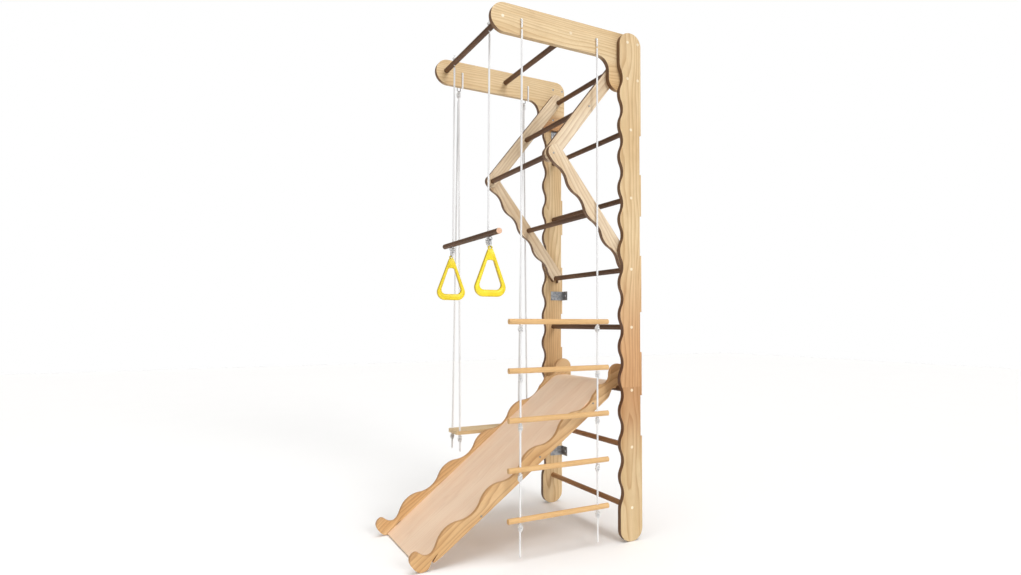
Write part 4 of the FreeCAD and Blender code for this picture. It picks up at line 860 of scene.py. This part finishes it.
finish(boardWood("seatWood", centre=(-0.40, -0.43, 0.44), turn=(90, 0, 0), rings=90, waver=0.010,
                 edgeShare=0.0), "swing_seat")
finish(makeWood("battenWood", dict(pine, turn=(0, 90, 0), centre=(0.1, -0.5, 0.36), edge=tone(190, 150, 105),
                                   edgeShare=0.0)), "slide_battens")
finish(makeWood("dowelWood", dict(pine, centre=(0.4, -0.06, 0.71), edgeShare=0.0)), "seam_dowels")
bedBeech = dict(pale=tone(248, 220, 192), warm=tone(243, 210, 180), late=tone(224, 184, 150), rings=60.0,
                waver=0.03, ringDepth=0.35, fibreDepth=0.12, poreDepth=0.14, rough=0.36, gloss=0.4,
                centre=(0.1, -0.55, 0.36), turn=slideGrain["bed"])
finish(makeWood("slideBedWood", bedBeech), "slide_bed")
print("wood finished")


metalValues = {
    "blotchFrom": (0.35, 0.65),
    "blotchRough": 0.22,
    "lessRough": 0.08,
    "scratchRough": 0.12,
    "fine": (900.0, 900.0, 120.0),      # drawn marks per metre
    "metallic": 0.85,
    "bump": 0.15,
    "bumpDepth": 0.0002,
}


# Zinc-coated steel: slightly blotchy, with fine handling scratches.
def makeMetal(name, colour, dark, rough, flecks):
    material, tree, shader, coords = startMaterial(name)
    blotch = noiseAt(tree, coords.outputs["Object"], flecks, 3.0, 0.6)
    fine = noiseAt(tree, stretched(tree, coords.outputs["Object"], metalValues["fine"]), 1.0)
    wear = placeGroup(tree, handlingGroup, coords.outputs["Object"])
    blotchShare = rangeOf(tree, blotch, *metalValues["blotchFrom"])
    tree.links.new(mixColours(tree, blotchShare, shade(colour), shade(dark)), shader.inputs["Base Color"])
    base = mathNode(tree, "MULTIPLY_ADD", blotch, metalValues["blotchRough"],
                    rough - metalValues["lessRough"])
    scratch = mathNode(tree, "MULTIPLY", wear["Scratch"], metalValues["scratchRough"])
    tree.links.new(mathNode(tree, "ADD", base, scratch), shader.inputs["Roughness"])
    shader.inputs["Metallic"].default_value = metalValues["metallic"]
    bumpInto(tree, shader, fine, metalValues["bump"], metalValues["bumpDepth"])
    return material


plasticValues = {
    "slow": 22.0,
    "slowFrom": (0.35, 0.7),
    "flankFacing": (0.15, 0.85),
    "flankShare": 0.85,
    "fineRough": 0.14,
    "lessRough": 0.07,
    "smudgeRough": 0.06,
    "gloss": 0.5,
    "bump": 0.12,
    "bumpDepth": 0.0002,
}


# Moulded plastic: a fine even skin, and a slow change of depth in the colour.
def makePlastic(name, colour, deep, rough, grainScale, flankShadeColour=None):
    material, tree, shader, coords = startMaterial(name)
    slow = noiseAt(tree, coords.outputs["Object"], plasticValues["slow"])
    fine = noiseAt(tree, coords.outputs["Object"], grainScale)
    wear = placeGroup(tree, handlingGroup, coords.outputs["Object"])
    skin = mixColours(tree, rangeOf(tree, slow, *plasticValues["slowFrom"]), shade(colour), shade(deep))
    if flankShadeColour:
        # The flanks, which look away from the flat faces, take a darker colour as painted shade.
        flank = rangeOf(tree, facingOf(tree, coords)[0], *plasticValues["flankFacing"],
                        plasticValues["flankShare"], 0.0)
        skin = mixColours(tree, flank, skin, shade(flankShadeColour))
    tree.links.new(skin, shader.inputs["Base Color"])
    base = mathNode(tree, "MULTIPLY_ADD", fine, plasticValues["fineRough"],
                    rough - plasticValues["lessRough"])
    smudge = mathNode(tree, "MULTIPLY", wear["Smudge"], plasticValues["smudgeRough"])
    tree.links.new(mathNode(tree, "ADD", base, smudge), shader.inputs["Roughness"])
    shader.inputs["Specular IOR Level"].default_value = plasticValues["gloss"]
    bumpInto(tree, shader, fine, plasticValues["bump"], plasticValues["bumpDepth"])
    return material


ropeFinishValues = {
    "groove": (0.10, 0.75),      # crest height where the groove's shade ends and the light one is full
    "yarns": (5.0, 2.4),         # per strand round the rope, and per radius along it
    "yarnShade": 0.05,
    "yarnHeight": 0.3,
    "fuzz": 1400.0,
    "fuzzRough": 0.2,
    "rough": 0.62,
    "sheen": 0.15,
    "gloss": 0.25,
    "bump": 0.4,
    "bumpDepth": 0.0004,
}


# Laid rope: painted shade darkens the strands' grooves, and fine yarns run round each strand.
def makeRopeFinish(name, light, dark, values):
    material, tree, shader, coords = startMaterial(name)
    parts = tree.nodes.new("ShaderNodeSeparateXYZ")
    tree.links.new(coords.outputs["UV"], parts.inputs[0])
    # Across one strand: 0 in the groove, 1 on the crest.
    across = mathNode(tree, "FRACT", parts.outputs[0])
    crest = mathNode(tree, "SINE", mathNode(tree, "MULTIPLY", across, math.pi))
    groove = rangeOf(tree, crest, *values["groove"])
    # Yarns: stripes that lie at a slant to the strand.
    slant = mathNode(tree, "ADD", mathNode(tree, "MULTIPLY", parts.outputs[0], values["yarns"][0]),
                     mathNode(tree, "MULTIPLY", parts.outputs[1], values["yarns"][1]))
    yarn = mathNode(tree, "SINE", mathNode(tree, "MULTIPLY", slant, 2 * math.pi))
    fuzz = noiseAt(tree, coords.outputs["Object"], values["fuzz"], 2.0, 0.6)
    # Painted shade: the grooves take the dark colour and the crests the light one.
    colour = mixColours(tree, groove, shade(dark), shade(light))
    stripe = mathNode(tree, "MULTIPLY_ADD", yarn, values["yarnShade"], 1 - values["yarnShade"])
    colour = mixColours(tree, 1.0, colour, greyOf(tree, stripe), "MULTIPLY")
    tree.links.new(colour, shader.inputs["Base Color"])
    rough = mathNode(tree, "MULTIPLY_ADD", fuzz, values["fuzzRough"], values["rough"])
    tree.links.new(rough, shader.inputs["Roughness"])
    shader.inputs["Sheen Weight"].default_value = values["sheen"]
    shader.inputs["Specular IOR Level"].default_value = values["gloss"]
    height = mathNode(tree, "ADD", mathNode(tree, "MULTIPLY", yarn, values["yarnHeight"]), fuzz)
    bumpInto(tree, shader, height, values["bump"], values["bumpDepth"])
    return material


zinc = makeMetal("zincPlate", tone(168, 170, 172), tone(128, 130, 134), rough=0.42, flecks=60.0)
brightSteel = makeMetal("brightWire", tone(200, 202, 205), tone(160, 163, 168), rough=0.28, flecks=90.0)
screwSteel = makeMetal("screwSteel", tone(176, 172, 165), tone(132, 128, 122), rough=0.38, flecks=140.0)
finish(zinc, "wall_brackets")
finish(brightSteel, "ring_eyes", "near_ring_link", "far_ring_link", "swing_screw_eyes", "swing_links")
finish(screwSteel, "rung_screws", "arm_bolts", "arm_insert_nuts", "wood_screws", "slide_screws")
finish(makePlastic("capCream", tone(240, 226, 200), tone(228, 208, 176), rough=0.30, grainScale=700.0),
       "cover_caps")
# The ring's flanks take a darker olive as painted shade.
ringYellow = makePlastic("ringYellow", tone(248, 224, 44), tone(238, 212, 30), rough=0.34,
                         grainScale=900.0, flankShadeColour=tone(196, 164, 14))
finish(ringYellow, "near_hand_ring", "far_hand_ring")
for ring in handRings:
    ring.data.materials.append(ringYellow)
ropeWhite = makeRopeFinish("ropeWhite", tone(250, 250, 250), tone(202, 202, 204), ropeFinishValues)
# The knots' grooves take a deeper painted shade.
knotWhite = makeRopeFinish("knotWhite", tone(250, 250, 250), tone(160, 158, 156), ropeFinishValues)
for rope in ropes:
    rope.data.materials.append(ropeWhite)
for knot in knots:
    knot.data.materials.append(knotWhite)
print("fittings and ropes finished")


# Floor: plain and pale, with faint uneven patches.
floorValues = {"half": 14.0, "colour": tone(250, 250, 250), "dull": 0.985, "patches": 2.0, "low": -0.0006}


def makeFloor(values):
    reach = values["half"]
    corners = [(-reach, -reach, values["low"]), (reach, -reach, values["low"]),
               (reach, reach, values["low"]), (-reach, reach, values["low"])]
    floor = meshPiece("paleFloor", corners, [(0, 1, 2, 3)], smooth=False)
    material, tree, shader, coords = startMaterial("floorWhite")
    uneven = noiseAt(tree, coords.outputs["Object"], values["patches"])
    tree.links.new(mixColours(tree, uneven, shade(values["colour"]), shade(values["colour"], values["dull"])),
                   shader.inputs["Base Color"])
    shader.inputs["Roughness"].default_value = 0.85
    shader.inputs["Specular IOR Level"].default_value = 0.1
    floor.data.materials.append(material)


makeFloor(floorValues)
print("floor laid")
